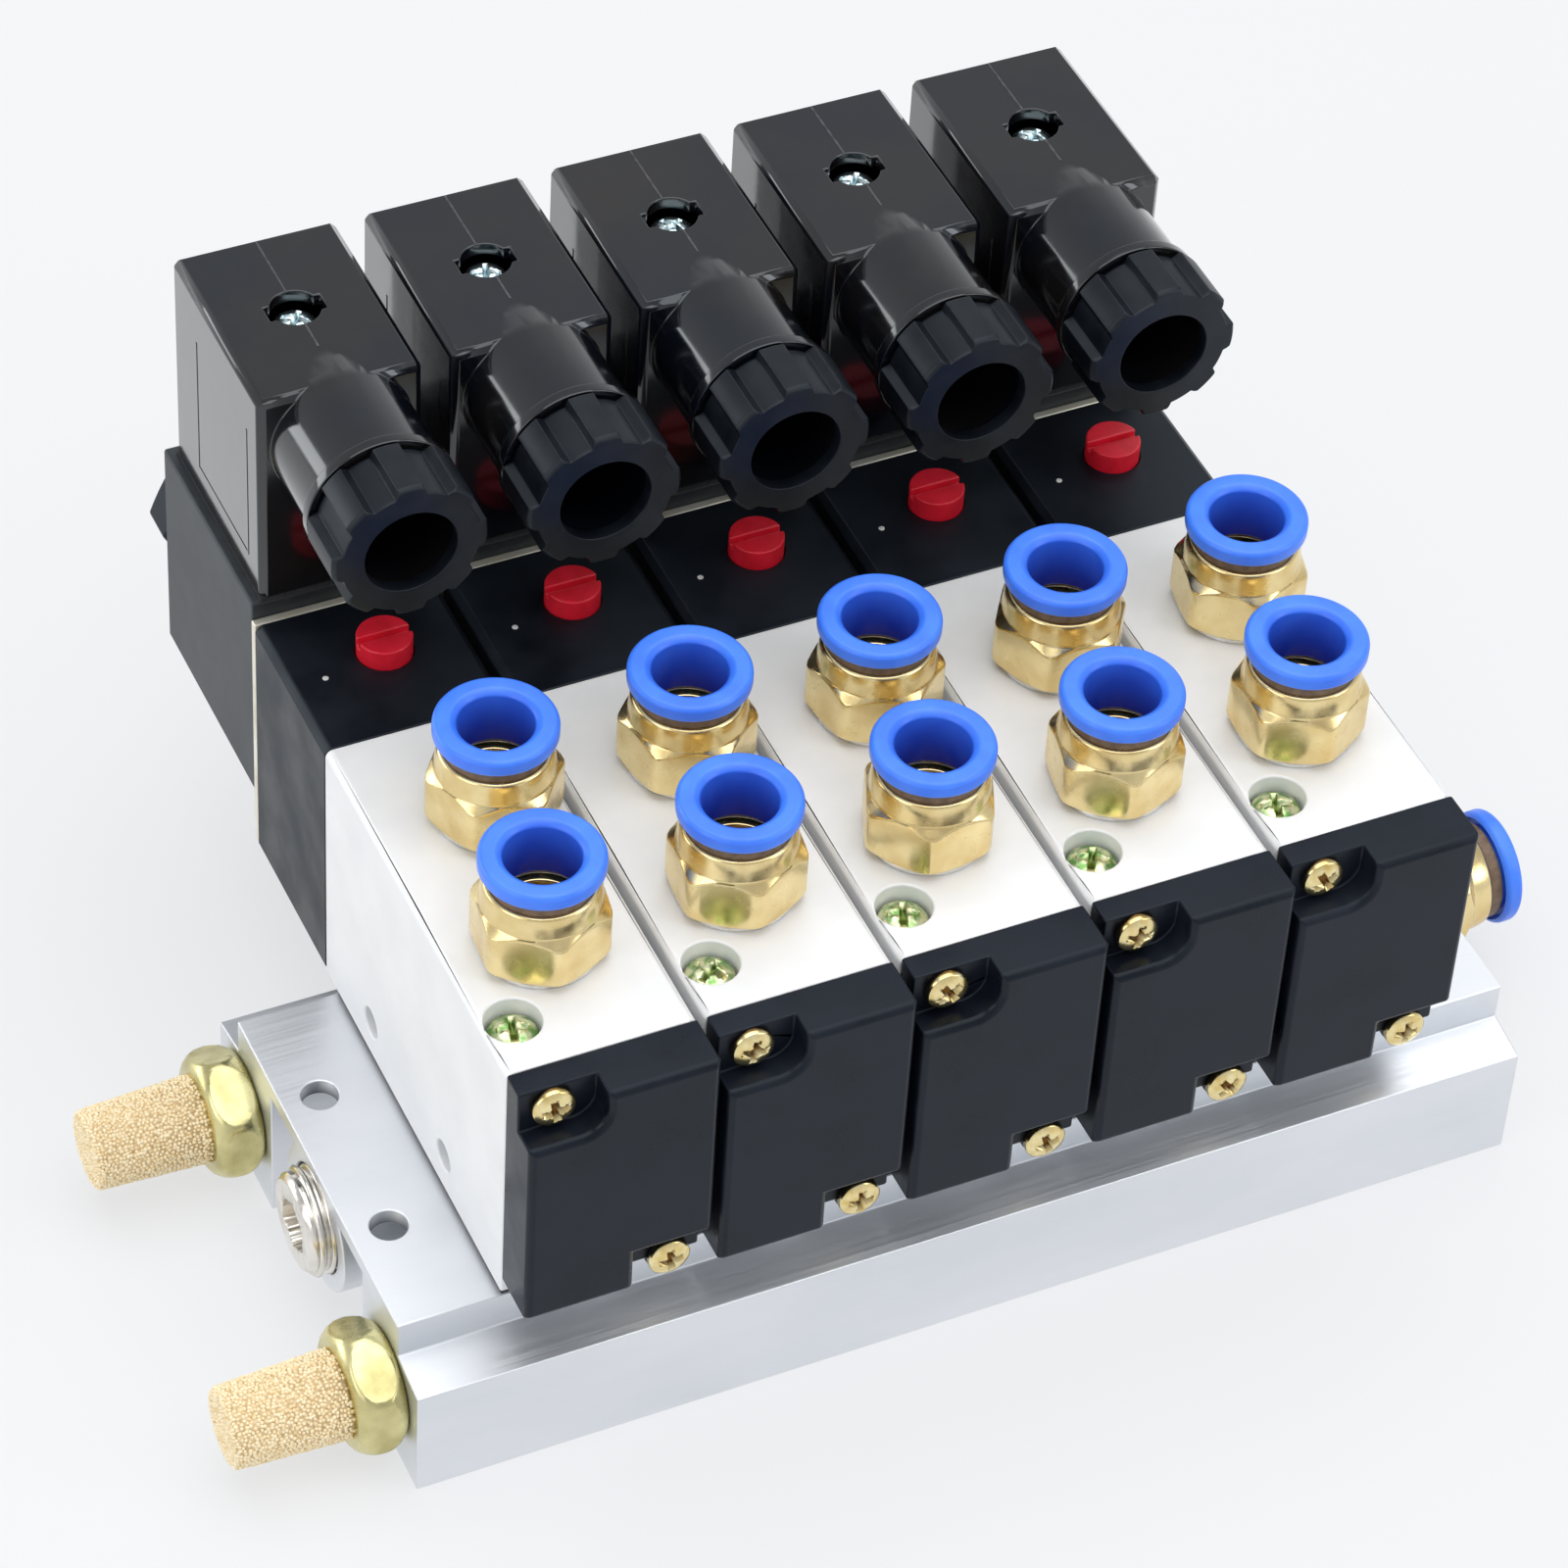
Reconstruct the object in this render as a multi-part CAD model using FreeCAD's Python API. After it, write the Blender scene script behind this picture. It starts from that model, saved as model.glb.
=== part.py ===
import FreeCAD, Part
import math
import os

os.makedirs("parts", exist_ok=True)

# Five-station solenoid valve manifold, in millimetres.
# X runs along the manifold, Y from the end caps to the coils, Z up. It is drawn from the base's underside
# and saved with its origin between the four mounting holes, on the face that the valves stand on.
V = FreeCAD.Vector

# Stations
station_count = 5
station_gap = 1.0
base_end_margin = 23.0

# Extruded base
base_foot_width = 61.0
base_foot_height = 15.3
base_shoulder_rise = 1.15
base_height = 21.25
base_leg_width = 16.5
base_top_plate = 2.2
supply_axis_z = 13.3
supply_boss_wall = 2.2
supply_gallery_radius = 5.2
exhaust_axis_inset = 8.5
exhaust_axis_z = 9.9
exhaust_gallery_radius = 4.0
gallery_port_depth = 11.0
mount_hole_radius = 2.15
mount_hole_inset = 4.6
mount_hole_spacing_y = 21.0

# Threaded ports, as their major radii
quarter_thread_radius = 6.58
eighth_thread_radius = 4.86
thread_clearance = 0.06

# Valve body
body_width = 22.0
body_front_overhang = 0.4
body_back_overhang = 3.0
body_height = 35.0
body_edge_radius = 1.0
gasket_thickness = 1.05
gasket_inset = 0.3
gasket_edge_wall = 2.3
air_slot_length = 5.2
air_slot_width = 2.0
supply_slot_y = -0.45
exhaust_slot_offset = 4.5
work_port_depth = 8.5
work_port_a = (-0.35, -8.7)
work_port_b = (2.8, 11.8)
side_hole_radius = 1.9
side_hole_height = 4.7
side_hole_front_y = -8.0
side_hole_back_y = 13.7

# Spool and its return spring
spool_axis_height = 17.7
spool_radius = 4.2
spool_clearance = 0.05
spool_waist_radius = 2.2
spool_stroke = 5.0
spool_land_width = 2.6
spool_seal_overlap = 0.2
spool_end_gap = 0.4
spool_end_chamber = 3.6
spring_wall = 0.7
spring_clearance = 0.25

# Mounting screws, one at the front left and one at the back right of each body
mount_screw_radius = 1.95
mount_screw_head_radius = 2.8
mount_screw_head_height = 2.4
mount_screw_recess = 1.0
mount_screw_engagement = 5.5
mount_screw_bore_radius = 3.2
mount_screw_side_inset = 3.7
mount_screw_front_inset = 6.4
mount_screw_back_inset = 3.1
screw_hole_clearance = 0.15
screw_end_gap = 0.4

# End cap
cap_foot_gap = 2.3
cap_flange_thickness = 3.3
cap_thickness = 6.9
cap_bevel = 0.6
cap_pocket_width = 9.0
cap_pocket_height = 5.6
cap_pocket_radius = 3.0
cap_step_width = 9.2
cap_step_height = 5.8
cap_lobe_radius = 2.5
cap_spring_depth = 4.0
cap_screw_side_inset = 3.8
cap_screw_inset = 2.5
cap_screw_radius = 1.25
cap_screw_head_radius = 2.45
cap_screw_head_height = 1.6
cap_screw_engagement = 3.0

# Pilot head with the manual override
pilot_length = 21.7
pilot_foot_gap = 0.3
pilot_bevel = 0.8
pilot_way_radius = 0.8
override_x = 1.2
override_from_back = 9.0
override_radius = 3.25
override_rise = 2.5
override_sink = 2.8
override_stroke = 1.5
override_slot_width = 0.9
override_slot_depth = 1.0
override_clearance = 0.08
override_pin_radius = 1.0
override_pin_length = 4.5
override_spring_radius = 2.4
override_spring_wall = 0.6

# Armature, core tube and coil
coil_plate_thickness = 1.1
coil_axis_height = 44.8
coil_side_inset = 0.1
coil_length = 28.8
coil_bottom_z = 30.0
coil_top_z = 59.6
coil_bore_clearance = 0.15
core_tube_radius = 4.6
core_tube_socket_depth = 3.0
core_tube_bore_radius = 3.6
core_tube_bore_depth = 21.3
core_stem_radius = 3.0
core_stem_recess = 0.6
armature_clearance = 0.05
armature_length = 22.0
armature_front_gap = 0.4
armature_stroke = 1.0
armature_spring_bore_radius = 1.7
armature_spring_bore_depth = 7.0
armature_spring_radius = 1.5
armature_spring_wall = 0.5
coil_nut_flats = 19.0
coil_nut_thickness = 7.2
coil_nut_face_radius = 9.1
coil_nut_chamfer = 1.0

# Plug connector over the coil
connector_gasket_thickness = 0.6
connector_gasket_width = 1.6
connector_side_inset = 1.2
connector_length = 27.4
connector_front_gap = 0.1
connector_height = 28.9
connector_wall = 1.6
connector_bevel = 0.8
connector_screw_y = 14.1
connector_screw_radius = 1.3
connector_screw_head_radius = 2.5
connector_screw_head_height = 2.3
connector_screw_recess = 1.5
connector_screw_engagement = 2.5
connector_hole_radius = 2.9
connector_ear_reach = 3.4
connector_ear_width = 2.4
terminal_block_height = 11.0
terminal_block_gap = 0.3
terminal_post_radius = 3.2
blade_width = 6.3
blade_thickness = 0.8
blade_height = 8.0
blade_spread = 8.0
blade_clearance = 0.2

# Cable entry
entry_axis_drop = 7.3
entry_boss_radius = 8.4
entry_boss_reach = 12.6
entry_hump_length = 6.2
entry_ring_radius = 9.0
entry_ring_width = 1.4
entry_spigot_radius = 7.3
entry_bore_radius = 6.2
gland_radius = 9.2
gland_length = 7.9
gland_front_wall = 1.7
gland_hole_radius = 5.45
gland_flute_count = 8
gland_flute_radius = 1.9
gland_flute_depth = 0.9
gland_thread_clearance = 0.1
gland_ring_gap = 0.3
gland_end_gap = 0.4

# Push-in fittings for 8 mm tube
tube_socket_radius = 4.1
fitting_hex_flats = 14.0
fitting_hex_height = 7.6
fitting_corner_radius = 7.85
fitting_foot_radius = 6.8
fitting_foot_chamfer = 1.1
fitting_shoulder = 1.1
fitting_neck_radius = 6.4
fitting_neck_height = 3.25
fitting_way_radius = 2.9
fitting_stub_length = 7.5
collar_bore_radius = 4.3
collar_flange_radius = 7.0
collar_flange_thickness = 2.2
collar_edge_bevel = 0.5
collar_sleeve_radius = 5.2
collar_sleeve_clearance = 0.06
collar_sleeve_length = 4.0
collar_stroke = 1.0
collar_stop_gap = 0.1

# Silencers and port plugs
silencer_hex_flats = 14.0
silencer_hex_length = 6.0
silencer_face_radius = 6.5
silencer_chamfer = 1.3
silencer_stub_length = 8.0
silencer_base_radius = 5.3
silencer_tip_radius = 4.75
silencer_length = 13.5
silencer_bore_radius = 3.0
silencer_bore_depth = 10.0
plug_length = 9.0
supply_plug_length = 11.8
supply_plug_rise = 2.8
plug_recess = 0.5
plug_socket_depth = 5.0
supply_plug_socket_flats = 6.0
exhaust_plug_socket_flats = 5.0

# Dependent sizes and places
station_pitch = body_width + station_gap
base_length = (station_count - 1) * station_pitch + 2 * base_end_margin
base_end_x = base_length / 2
leg_outer_y = base_foot_width / 2
leg_inner_y = leg_outer_y - base_leg_width
exhaust_axis_y = leg_outer_y - exhaust_axis_inset
exhaust_slot_y = exhaust_axis_y - exhaust_slot_offset
gasket_half_length = exhaust_axis_y + gasket_edge_wall
base_top_half_width = gasket_half_length + gasket_inset
body_front_y = -base_top_half_width - body_front_overhang
body_back_y = base_top_half_width + body_back_overhang
mount_screw_x = body_width / 2 - mount_screw_side_inset
mount_screw_front = (-mount_screw_x, mount_screw_front_inset - gasket_half_length)
mount_screw_back = (mount_screw_x, gasket_half_length - mount_screw_back_inset)
supply_boss_radius = quarter_thread_radius + supply_boss_wall
station_x = [(i - (station_count - 1) / 2) * station_pitch for i in range(station_count)]
body_bottom_z = base_height + gasket_thickness
body_top_z = body_bottom_z + body_height
spool_axis_z = body_bottom_z + spool_axis_height
bore_radius = spool_radius + spool_clearance
side_hole_z = body_bottom_z + side_hole_height
half_slot = air_slot_width / 2
cap_front_y = body_front_y - cap_thickness
cap_seat_y = body_front_y - cap_flange_thickness
cap_bottom_z = body_bottom_z + cap_foot_gap
cap_screw_x = body_width / 2 - cap_screw_side_inset
upper_cap_screw = (-cap_screw_x, body_top_z - cap_screw_inset)
lower_cap_screw = (cap_screw_x, body_bottom_z + cap_screw_inset)
pilot_back_y = body_back_y + pilot_length
override_y = pilot_back_y - override_from_back
override_floor_z = body_top_z - override_sink - override_stroke - screw_end_gap
coil_front_y = pilot_back_y + coil_plate_thickness
coil_back_y = coil_front_y + coil_length
core_tube_front_y = pilot_back_y - core_tube_socket_depth
core_face_y = core_tube_front_y + core_tube_bore_depth
armature_front_y = core_face_y - armature_stroke - armature_front_gap - armature_length
connector_bottom_z = coil_top_z + connector_gasket_thickness
connector_top_z = connector_bottom_z + connector_height
connector_front_y = coil_front_y - connector_front_gap
connector_back_y = connector_front_y + connector_length
connector_half_width = body_width / 2 - connector_side_inset
connector_inner_half = connector_half_width - connector_wall
connector_screw_at_y = connector_front_y + connector_screw_y
connector_seat_z = connector_top_z - connector_screw_recess - connector_screw_head_height
entry_axis_z = connector_top_z - entry_axis_drop
entry_ring_y = connector_front_y - entry_boss_reach
gland_back_y = entry_ring_y - gland_ring_gap
gland_front_y = gland_back_y - gland_length
spigot_front_y = gland_front_y + gland_front_wall + gland_end_gap
collar_gap = collar_stroke + collar_stop_gap


def box(x0, x1, y0, y1, z0, z1):
    return Part.makeBox(x1 - x0, y1 - y0, z1 - z0, V(x0, y0, z0))


def rod(start, end, radius):
    way = end.sub(start)
    return Part.makeCylinder(radius, way.Length, start, way)


def prism(points, way):
    """The closed outline through points, pushed along way."""
    return Part.Face(Part.makePolygon(points + points[:1])).extrude(way)


def hexagon(centre, flats, way, along):
    """A hexagonal bar over flats, from centre along way, with a corner towards along."""
    axis = FreeCAD.Vector(way).normalize()
    corner = FreeCAD.Vector(along).normalize() * (flats / math.sqrt(3))
    points = [centre + FreeCAD.Rotation(axis, 60 * i).multVec(corner) for i in range(6)]
    return prism(points, way)


def turned(profile):
    """The closed (height, radius) profile turned about the Z axis."""
    points = [V(radius, 0, height) for height, radius in profile]
    face = Part.Face(Part.makePolygon(points + points[:1]))
    return face.revolve(V(0, 0, 0), V(0, 0, 1), 360)


def turned_hexagon(flats, length, face_radius, chamfer):
    """A hexagonal bar along Z from Z = 0, with the corners of both ends turned down to face_radius."""
    outside = flats
    outline = turned([
        (0, 0),
        (0, face_radius),
        (chamfer, flats / math.sqrt(3)),
        (chamfer, outside),
        (length - chamfer, outside),
        (length - chamfer, flats / math.sqrt(3)),
        (length, face_radius),
        (length, 0),
    ])
    return hexagon(V(0, 0, 0), flats, V(0, 0, length), V(1, 0, 0)).common(outline)


def open_edges(shape, wanted):
    """The edges with two different ends for which wanted(start, end) holds."""
    return [e for e in shape.Edges if len(e.Vertexes) == 2 and wanted(*[v.Point for v in e.Vertexes])]


def rounded(shape, radius, wanted):
    return shape.makeFillet(radius, open_edges(shape, wanted))


def bevelled(shape, size, wanted):
    return shape.makeChamfer(size, open_edges(shape, wanted))


def placed(shape, at, way):
    """A copy of a shape made along Z, turned to point along way and moved to at."""
    copy = shape.copy()
    copy.Placement = FreeCAD.Placement(at, FreeCAD.Rotation(V(0, 0, 1), way))
    return copy


def at_station(shape, x):
    copy = shape.copy()
    copy.translate(V(x, 0, 0))
    return copy


def save(name, shapes):
    down = V(0, 0, -base_height)
    solids = [solid.translated(down) for shape in shapes for solid in shape.Solids]
    Part.makeCompound(solids).exportStep("parts/" + name + ".step")


def save_at_stations(name, shape):
    save(name, [at_station(shape, x) for x in station_x])


def slot(x, y, z0, z1, width=air_slot_width):
    half = air_slot_length / 2
    return box(x - half, x + half, y - width / 2, y + width / 2, z0, z1)


def exhaust_slot_reach():
    """The inner and outer edge of the base's exhaust slots, from below the body to over the gallery."""
    return exhaust_slot_y - half_slot, exhaust_axis_y


# The base: an extruded section with a round supply gallery under its top plate, an exhaust gallery
# in each leg, and slots up to every station.
def base_section():
    shoulder_z = base_foot_height + base_shoulder_rise
    plate_z = base_height - base_top_plate
    side = [
        (base_top_half_width, base_height),
        (base_top_half_width, shoulder_z),
        (leg_outer_y, base_foot_height),
        (leg_outer_y, 0),
        (leg_inner_y, 0),
        (leg_inner_y, plate_z),
    ]
    outline = side + [(-y, z) for y, z in reversed(side)]
    points = [V(-base_end_x, y, z) for y, z in outline]
    return prism(points, V(base_length, 0, 0))


def threaded_way(y, z, gallery_radius, thread_radius):
    left = V(-base_end_x, y, z)
    right = V(base_end_x, y, z)
    depth = V(gallery_port_depth, 0, 0)
    way = rod(left, right, gallery_radius)
    return way.fuse([rod(left, left + depth, thread_radius), rod(right - depth, right, thread_radius)])


def manifold_base():
    boss_start = V(-base_end_x, 0, supply_axis_z)
    boss = rod(boss_start, V(base_end_x, 0, supply_axis_z), supply_boss_radius)
    above = box(-base_end_x, base_end_x, -leg_outer_y, leg_outer_y, base_height, 2 * base_height)
    shape = base_section().fuse(boss).cut(above)
    cuts = [threaded_way(0, supply_axis_z, supply_gallery_radius, quarter_thread_radius)]
    for side in (-1, 1):
        y = side * exhaust_axis_y
        cuts.append(threaded_way(y, exhaust_axis_z, exhaust_gallery_radius, eighth_thread_radius))
    inner, outer = exhaust_slot_reach()
    tap_z = base_height - mount_screw_engagement - screw_end_gap
    for x in station_x:
        cuts.append(slot(x, supply_slot_y, supply_axis_z, base_height))
        for side in (-1, 1):
            cuts.append(slot(x, side * (inner + outer) / 2, exhaust_axis_z, base_height, outer - inner))
        for dx, y in (mount_screw_front, mount_screw_back):
            tap = mount_screw_radius + thread_clearance
            cuts.append(rod(V(x + dx, y, tap_z), V(x + dx, y, base_height), tap))
    for end in (-1, 1):
        for side in (-1, 1):
            x = end * (base_end_x - mount_hole_inset)
            y = side * mount_hole_spacing_y / 2
            bottom = V(x, y, base_height - 2 * base_top_plate)
            cuts.append(rod(bottom, V(x, y, base_height), mount_hole_radius))
    return shape.cut(cuts).removeSplitter()


# The gasket between the base and a body, with a window for each air slot.
def body_gasket():
    half = body_width / 2 - gasket_inset
    shape = box(-half, half, -gasket_half_length, gasket_half_length, base_height, body_bottom_z)
    inner, outer = exhaust_slot_reach()
    cuts = [slot(0, supply_slot_y, base_height, body_bottom_z)]
    for side in (-1, 1):
        cuts.append(slot(0, side * (inner + outer) / 2, base_height, body_bottom_z, outer - inner))
    for x, y in (mount_screw_front, mount_screw_back):
        hole = mount_screw_radius + screw_hole_clearance
        cuts.append(rod(V(x, y, base_height), V(x, y, body_bottom_z), hole))
    return shape.cut(cuts)


# The valve body: a bored block with two work ports on top and three air slots below.
def valve_body():
    half = body_width / 2
    shape = box(-half, half, body_front_y, body_back_y, body_bottom_z, body_top_z)
    shape = rounded(
        shape, body_edge_radius, lambda a, b: abs(a.y - b.y) > 1 and min(a.z, b.z) > body_top_z - 1
    )
    bore_start = V(0, body_front_y, spool_axis_z)
    cuts = [rod(bore_start, V(0, body_back_y, spool_axis_z), bore_radius)]
    for x, y in (work_port_a, work_port_b):
        floor_z = body_top_z - work_port_depth
        thread = eighth_thread_radius + thread_clearance
        cuts.append(rod(V(x, y, floor_z), V(x, y, body_top_z), thread))
        cuts.append(slot(0, y, spool_axis_z, floor_z))
    for y in (-exhaust_slot_y, supply_slot_y, exhaust_slot_y):
        cuts.append(slot(0, y, body_bottom_z, spool_axis_z))
    for x, y in (mount_screw_front, mount_screw_back):
        hole = mount_screw_radius + screw_hole_clearance
        seat_z = body_top_z - mount_screw_recess - mount_screw_head_height
        cuts.append(rod(V(x, y, body_bottom_z), V(x, y, body_top_z), hole))
        cuts.append(rod(V(x, y, seat_z), V(x, y, body_top_z), mount_screw_bore_radius))
    for y in (side_hole_front_y, side_hole_back_y):
        cuts.append(rod(V(-half, y, side_hole_z), V(half, y, side_hole_z), side_hole_radius))
    for x, z in (upper_cap_screw, lower_cap_screw):
        end_y = body_front_y + cap_screw_engagement + thread_clearance
        cuts.append(rod(V(x, body_front_y, z), V(x, end_y, z), cap_screw_radius + thread_clearance))
    return shape.cut(cuts)


# The spool: three lands on a waist. The front land stands between the front exhaust slot and port A, and
# moves clear of that slot when the coil is on. The middle land lies beside the supply slot, behind it at
# rest and in front of it when the coil is on.
def spool_front_y():
    return half_slot + spool_seal_overlap - exhaust_slot_y


def spool():
    middle = supply_slot_y + half_slot + spool_seal_overlap
    front = spool_front_y()
    back = exhaust_slot_y + half_slot + spool_seal_overlap
    end = body_back_y + spool_end_chamber - spool_end_gap
    heights = [front, front + spool_land_width, middle, middle + spool_land_width, back, end]
    profile = [(front, 0)]
    for i, height in enumerate(heights):
        land_starts = i % 2 == 0
        before, after = (spool_waist_radius, spool_radius) if land_starts else (spool_radius, spool_waist_radius)
        if i > 0:
            profile.append((height, before))
        if i < len(heights) - 1:
            profile.append((height, after))
    profile.append((end, 0))
    return placed(turned(profile), V(0, 0, spool_axis_z), V(0, 1, 0))


def sleeve(start, end, outer, wall):
    """A coil spring's plain tube, from start to end."""
    return rod(start, end, outer).cut(rod(start, end, outer - wall))


def spool_spring():
    spring_radius = bore_radius - spring_clearance
    start = V(0, body_front_y - cap_spring_depth, spool_axis_z)
    return sleeve(start, V(0, spool_front_y(), spool_axis_z), spring_radius, spring_wall)


# The end cap: a moulded cover with a corner pocket for one screw, a stepped corner over the other,
# and a pocket that carries the return spring.
def end_cap():
    half = body_width / 2
    shape = box(-half, half, cap_front_y, body_front_y, cap_bottom_z, body_top_z)
    pocket_x = -half + cap_pocket_width
    pocket_z = body_top_z - cap_pocket_height
    pocket = box(-2 * half, pocket_x, cap_front_y, cap_seat_y, pocket_z, 2 * body_top_z)
    pocket = rounded(
        pocket,
        cap_pocket_radius,
        lambda a, b: abs(a.y - b.y) > 1 and max(a.x, b.x) > pocket_x - 1 and max(a.z, b.z) < pocket_z + 1,
    )
    step_x = half - cap_step_width
    step = box(step_x, 2 * half, cap_front_y, cap_seat_y, 0, cap_bottom_z + cap_step_height)
    shape = bevelled(
        shape.cut([pocket, step]),
        cap_bevel,
        lambda a, b: max(a.y, b.y) < cap_front_y + 0.01,
    )
    lobe_x, lobe_z = lower_cap_screw
    lobe = rod(V(lobe_x, cap_seat_y, lobe_z), V(lobe_x, body_front_y, lobe_z), cap_lobe_radius)
    spring_start = V(0, body_front_y - cap_spring_depth, spool_axis_z)
    cuts = [rod(spring_start, V(0, body_front_y, spool_axis_z), bore_radius)]
    for x, z in (upper_cap_screw, lower_cap_screw):
        hole = cap_screw_radius + screw_hole_clearance
        cuts.append(rod(V(x, cap_seat_y, z), V(x, body_front_y, z), hole))
    return shape.fuse(lobe).cut(cuts).removeSplitter()


def screw(length, radius, head_height, head_radius):
    """A pan-head screw along Z: its head stands on Z = 0 and its shank hangs below."""
    return turned([(-length, 0), (-length, radius), (0, radius), (0, head_radius),
                   (head_height, head_radius), (head_height, 0)])


def mounting_screws():
    seat_z = body_top_z - mount_screw_recess - mount_screw_head_height
    length = seat_z - base_height + mount_screw_engagement
    one = screw(length, mount_screw_radius, mount_screw_head_height, mount_screw_head_radius)
    return [
        placed(one, V(x + dx, y, seat_z), V(0, 0, 1))
        for x in station_x
        for dx, y in (mount_screw_front, mount_screw_back)
    ]


def cap_screws():
    length = cap_flange_thickness + cap_screw_engagement
    one = screw(length, cap_screw_radius, cap_screw_head_height, cap_screw_head_radius)
    return [
        placed(one, V(x + dx, cap_seat_y, z), V(0, -1, 0))
        for x in station_x
        for dx, z in (upper_cap_screw, lower_cap_screw)
    ]


# The pilot head: a block with the spool's end chamber, the armature's seat and the override's well.
def pilot_head():
    half = body_width / 2
    shape = box(-half, half, body_back_y, pilot_back_y, body_bottom_z + pilot_foot_gap, body_top_z)
    shape = bevelled(shape, pilot_bevel, lambda a, b: abs(a.y - b.y) > 1 and min(a.z, b.z) > body_top_z - 1)
    chamber_end = V(0, body_back_y + spool_end_chamber, spool_axis_z)
    seat = V(0, armature_front_y - armature_front_gap, coil_axis_height)
    chamber = core_tube_bore_radius
    socket = V(0, core_tube_front_y, coil_axis_height)
    well_top = V(override_x, override_y, body_top_z)
    well_floor = V(override_x, override_y, override_floor_z)
    share = (override_y - chamber_end.y) / (seat.y - chamber_end.y)
    pin_end = V(override_x, override_y, spool_axis_z + share * (coil_axis_height - spool_axis_z))
    cuts = [
        rod(V(0, body_back_y, spool_axis_z), chamber_end, bore_radius),
        rod(chamber_end, seat, pilot_way_radius),
        rod(seat, V(0, pilot_back_y, coil_axis_height), chamber),
        rod(socket, V(0, pilot_back_y, coil_axis_height), core_tube_radius + thread_clearance),
        rod(well_floor, well_top, override_radius + override_clearance),
        rod(pin_end, well_top, override_pin_radius + override_clearance),
    ]
    return shape.cut(cuts)


def override_button():
    bottom_z = body_top_z - override_sink
    top_z = body_top_z + override_rise
    head = rod(V(override_x, override_y, bottom_z), V(override_x, override_y, top_z), override_radius)
    half = override_slot_width / 2
    cut = box(
        override_x - override_radius, override_x + override_radius,
        override_y - half, override_y + half, top_z - override_slot_depth, top_z,
    )
    return head.cut(cut)


def override_pin():
    top = V(override_x, override_y, body_top_z - override_sink)
    return rod(top - V(0, 0, override_pin_length), top, override_pin_radius)


def override_spring():
    start = V(override_x, override_y, override_floor_z)
    end = V(override_x, override_y, body_top_z - override_sink)
    return sleeve(start, end, override_spring_radius, override_spring_wall)


# The coil assembly: plate, core tube with its fixed core, armature, coil and nut.
def coil_plate():
    half = body_width / 2
    shape = box(-half, half, pilot_back_y, coil_front_y, body_bottom_z + pilot_foot_gap, body_top_z)
    start = V(0, pilot_back_y, coil_axis_height)
    return shape.cut(rod(start, V(0, coil_front_y, coil_axis_height), core_tube_radius + coil_bore_clearance))


def core_tube():
    stem_end = coil_back_y + coil_nut_thickness - core_stem_recess
    profile = [
        (core_tube_front_y, core_tube_bore_radius),
        (core_tube_front_y, core_tube_radius),
        (coil_back_y, core_tube_radius),
        (coil_back_y, core_stem_radius),
        (stem_end, core_stem_radius),
        (stem_end, 0),
        (core_face_y, 0),
        (core_face_y, core_tube_bore_radius),
    ]
    return placed(turned(profile), V(0, 0, coil_axis_height), V(0, 1, 0))


def armature():
    end = armature_front_y + armature_length
    radius = core_tube_bore_radius - armature_clearance
    start = V(0, armature_front_y, coil_axis_height)
    bore_start = V(0, end - armature_spring_bore_depth, coil_axis_height)
    stop = V(0, end, coil_axis_height)
    return rod(start, stop, radius).cut(rod(bore_start, stop, armature_spring_bore_radius))


def armature_spring():
    start_y = armature_front_y + armature_length - armature_spring_bore_depth
    start = V(0, start_y, coil_axis_height)
    return sleeve(start, V(0, core_face_y, coil_axis_height), armature_spring_radius, armature_spring_wall)


def coil():
    half = body_width / 2 - coil_side_inset
    shape = box(-half, half, coil_front_y, coil_back_y, coil_bottom_z, coil_top_z)
    start = V(0, coil_front_y, coil_axis_height)
    bore = rod(start, V(0, coil_back_y, coil_axis_height), core_tube_radius + coil_bore_clearance)
    tap_start = V(0, connector_screw_at_y, coil_top_z - connector_screw_engagement - screw_end_gap)
    tap_end = V(0, connector_screw_at_y, coil_top_z)
    return shape.cut([bore, rod(tap_start, tap_end, connector_screw_radius + thread_clearance)])


def coil_nut():
    start = V(0, coil_back_y, coil_axis_height)
    end = V(0, coil_back_y + coil_nut_thickness, coil_axis_height)
    nut = turned_hexagon(coil_nut_flats, coil_nut_thickness, coil_nut_face_radius, coil_nut_chamfer)
    shape = placed(nut, start, V(0, 1, 0))
    return shape.cut(rod(start, end, core_stem_radius + thread_clearance))


# The plug connector: three blades on the coil, a terminal block on them, and a hollow housing with
# a cable entry that carries a fluted gland nut.
def blade_places():
    """The middle of each blade and whether it stands across X."""
    return [
        (0, connector_screw_at_y - blade_spread, True),
        (0, connector_screw_at_y + blade_spread, True),
        (-blade_width, connector_screw_at_y, False),
    ]


def blade_box(x, y, across, z0, z1, extra):
    half_width = blade_width / 2 + extra
    half_thick = blade_thickness / 2 + extra
    half_x, half_y = (half_width, half_thick) if across else (half_thick, half_width)
    return box(x - half_x, x + half_x, y - half_y, y + half_y, z0, z1)


def terminal_blades():
    blades = [blade_box(*place, coil_top_z, coil_top_z + blade_height, 0) for place in blade_places()]
    return Part.makeCompound(blades)


def connector_gasket():
    half = connector_half_width
    inner = half - connector_gasket_width
    shape = box(-half, half, connector_front_y, connector_back_y, coil_top_z, connector_bottom_z)
    window = box(
        -inner, inner, connector_front_y + connector_gasket_width,
        connector_back_y - connector_gasket_width, coil_top_z, connector_bottom_z,
    )
    return shape.cut(window)


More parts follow.
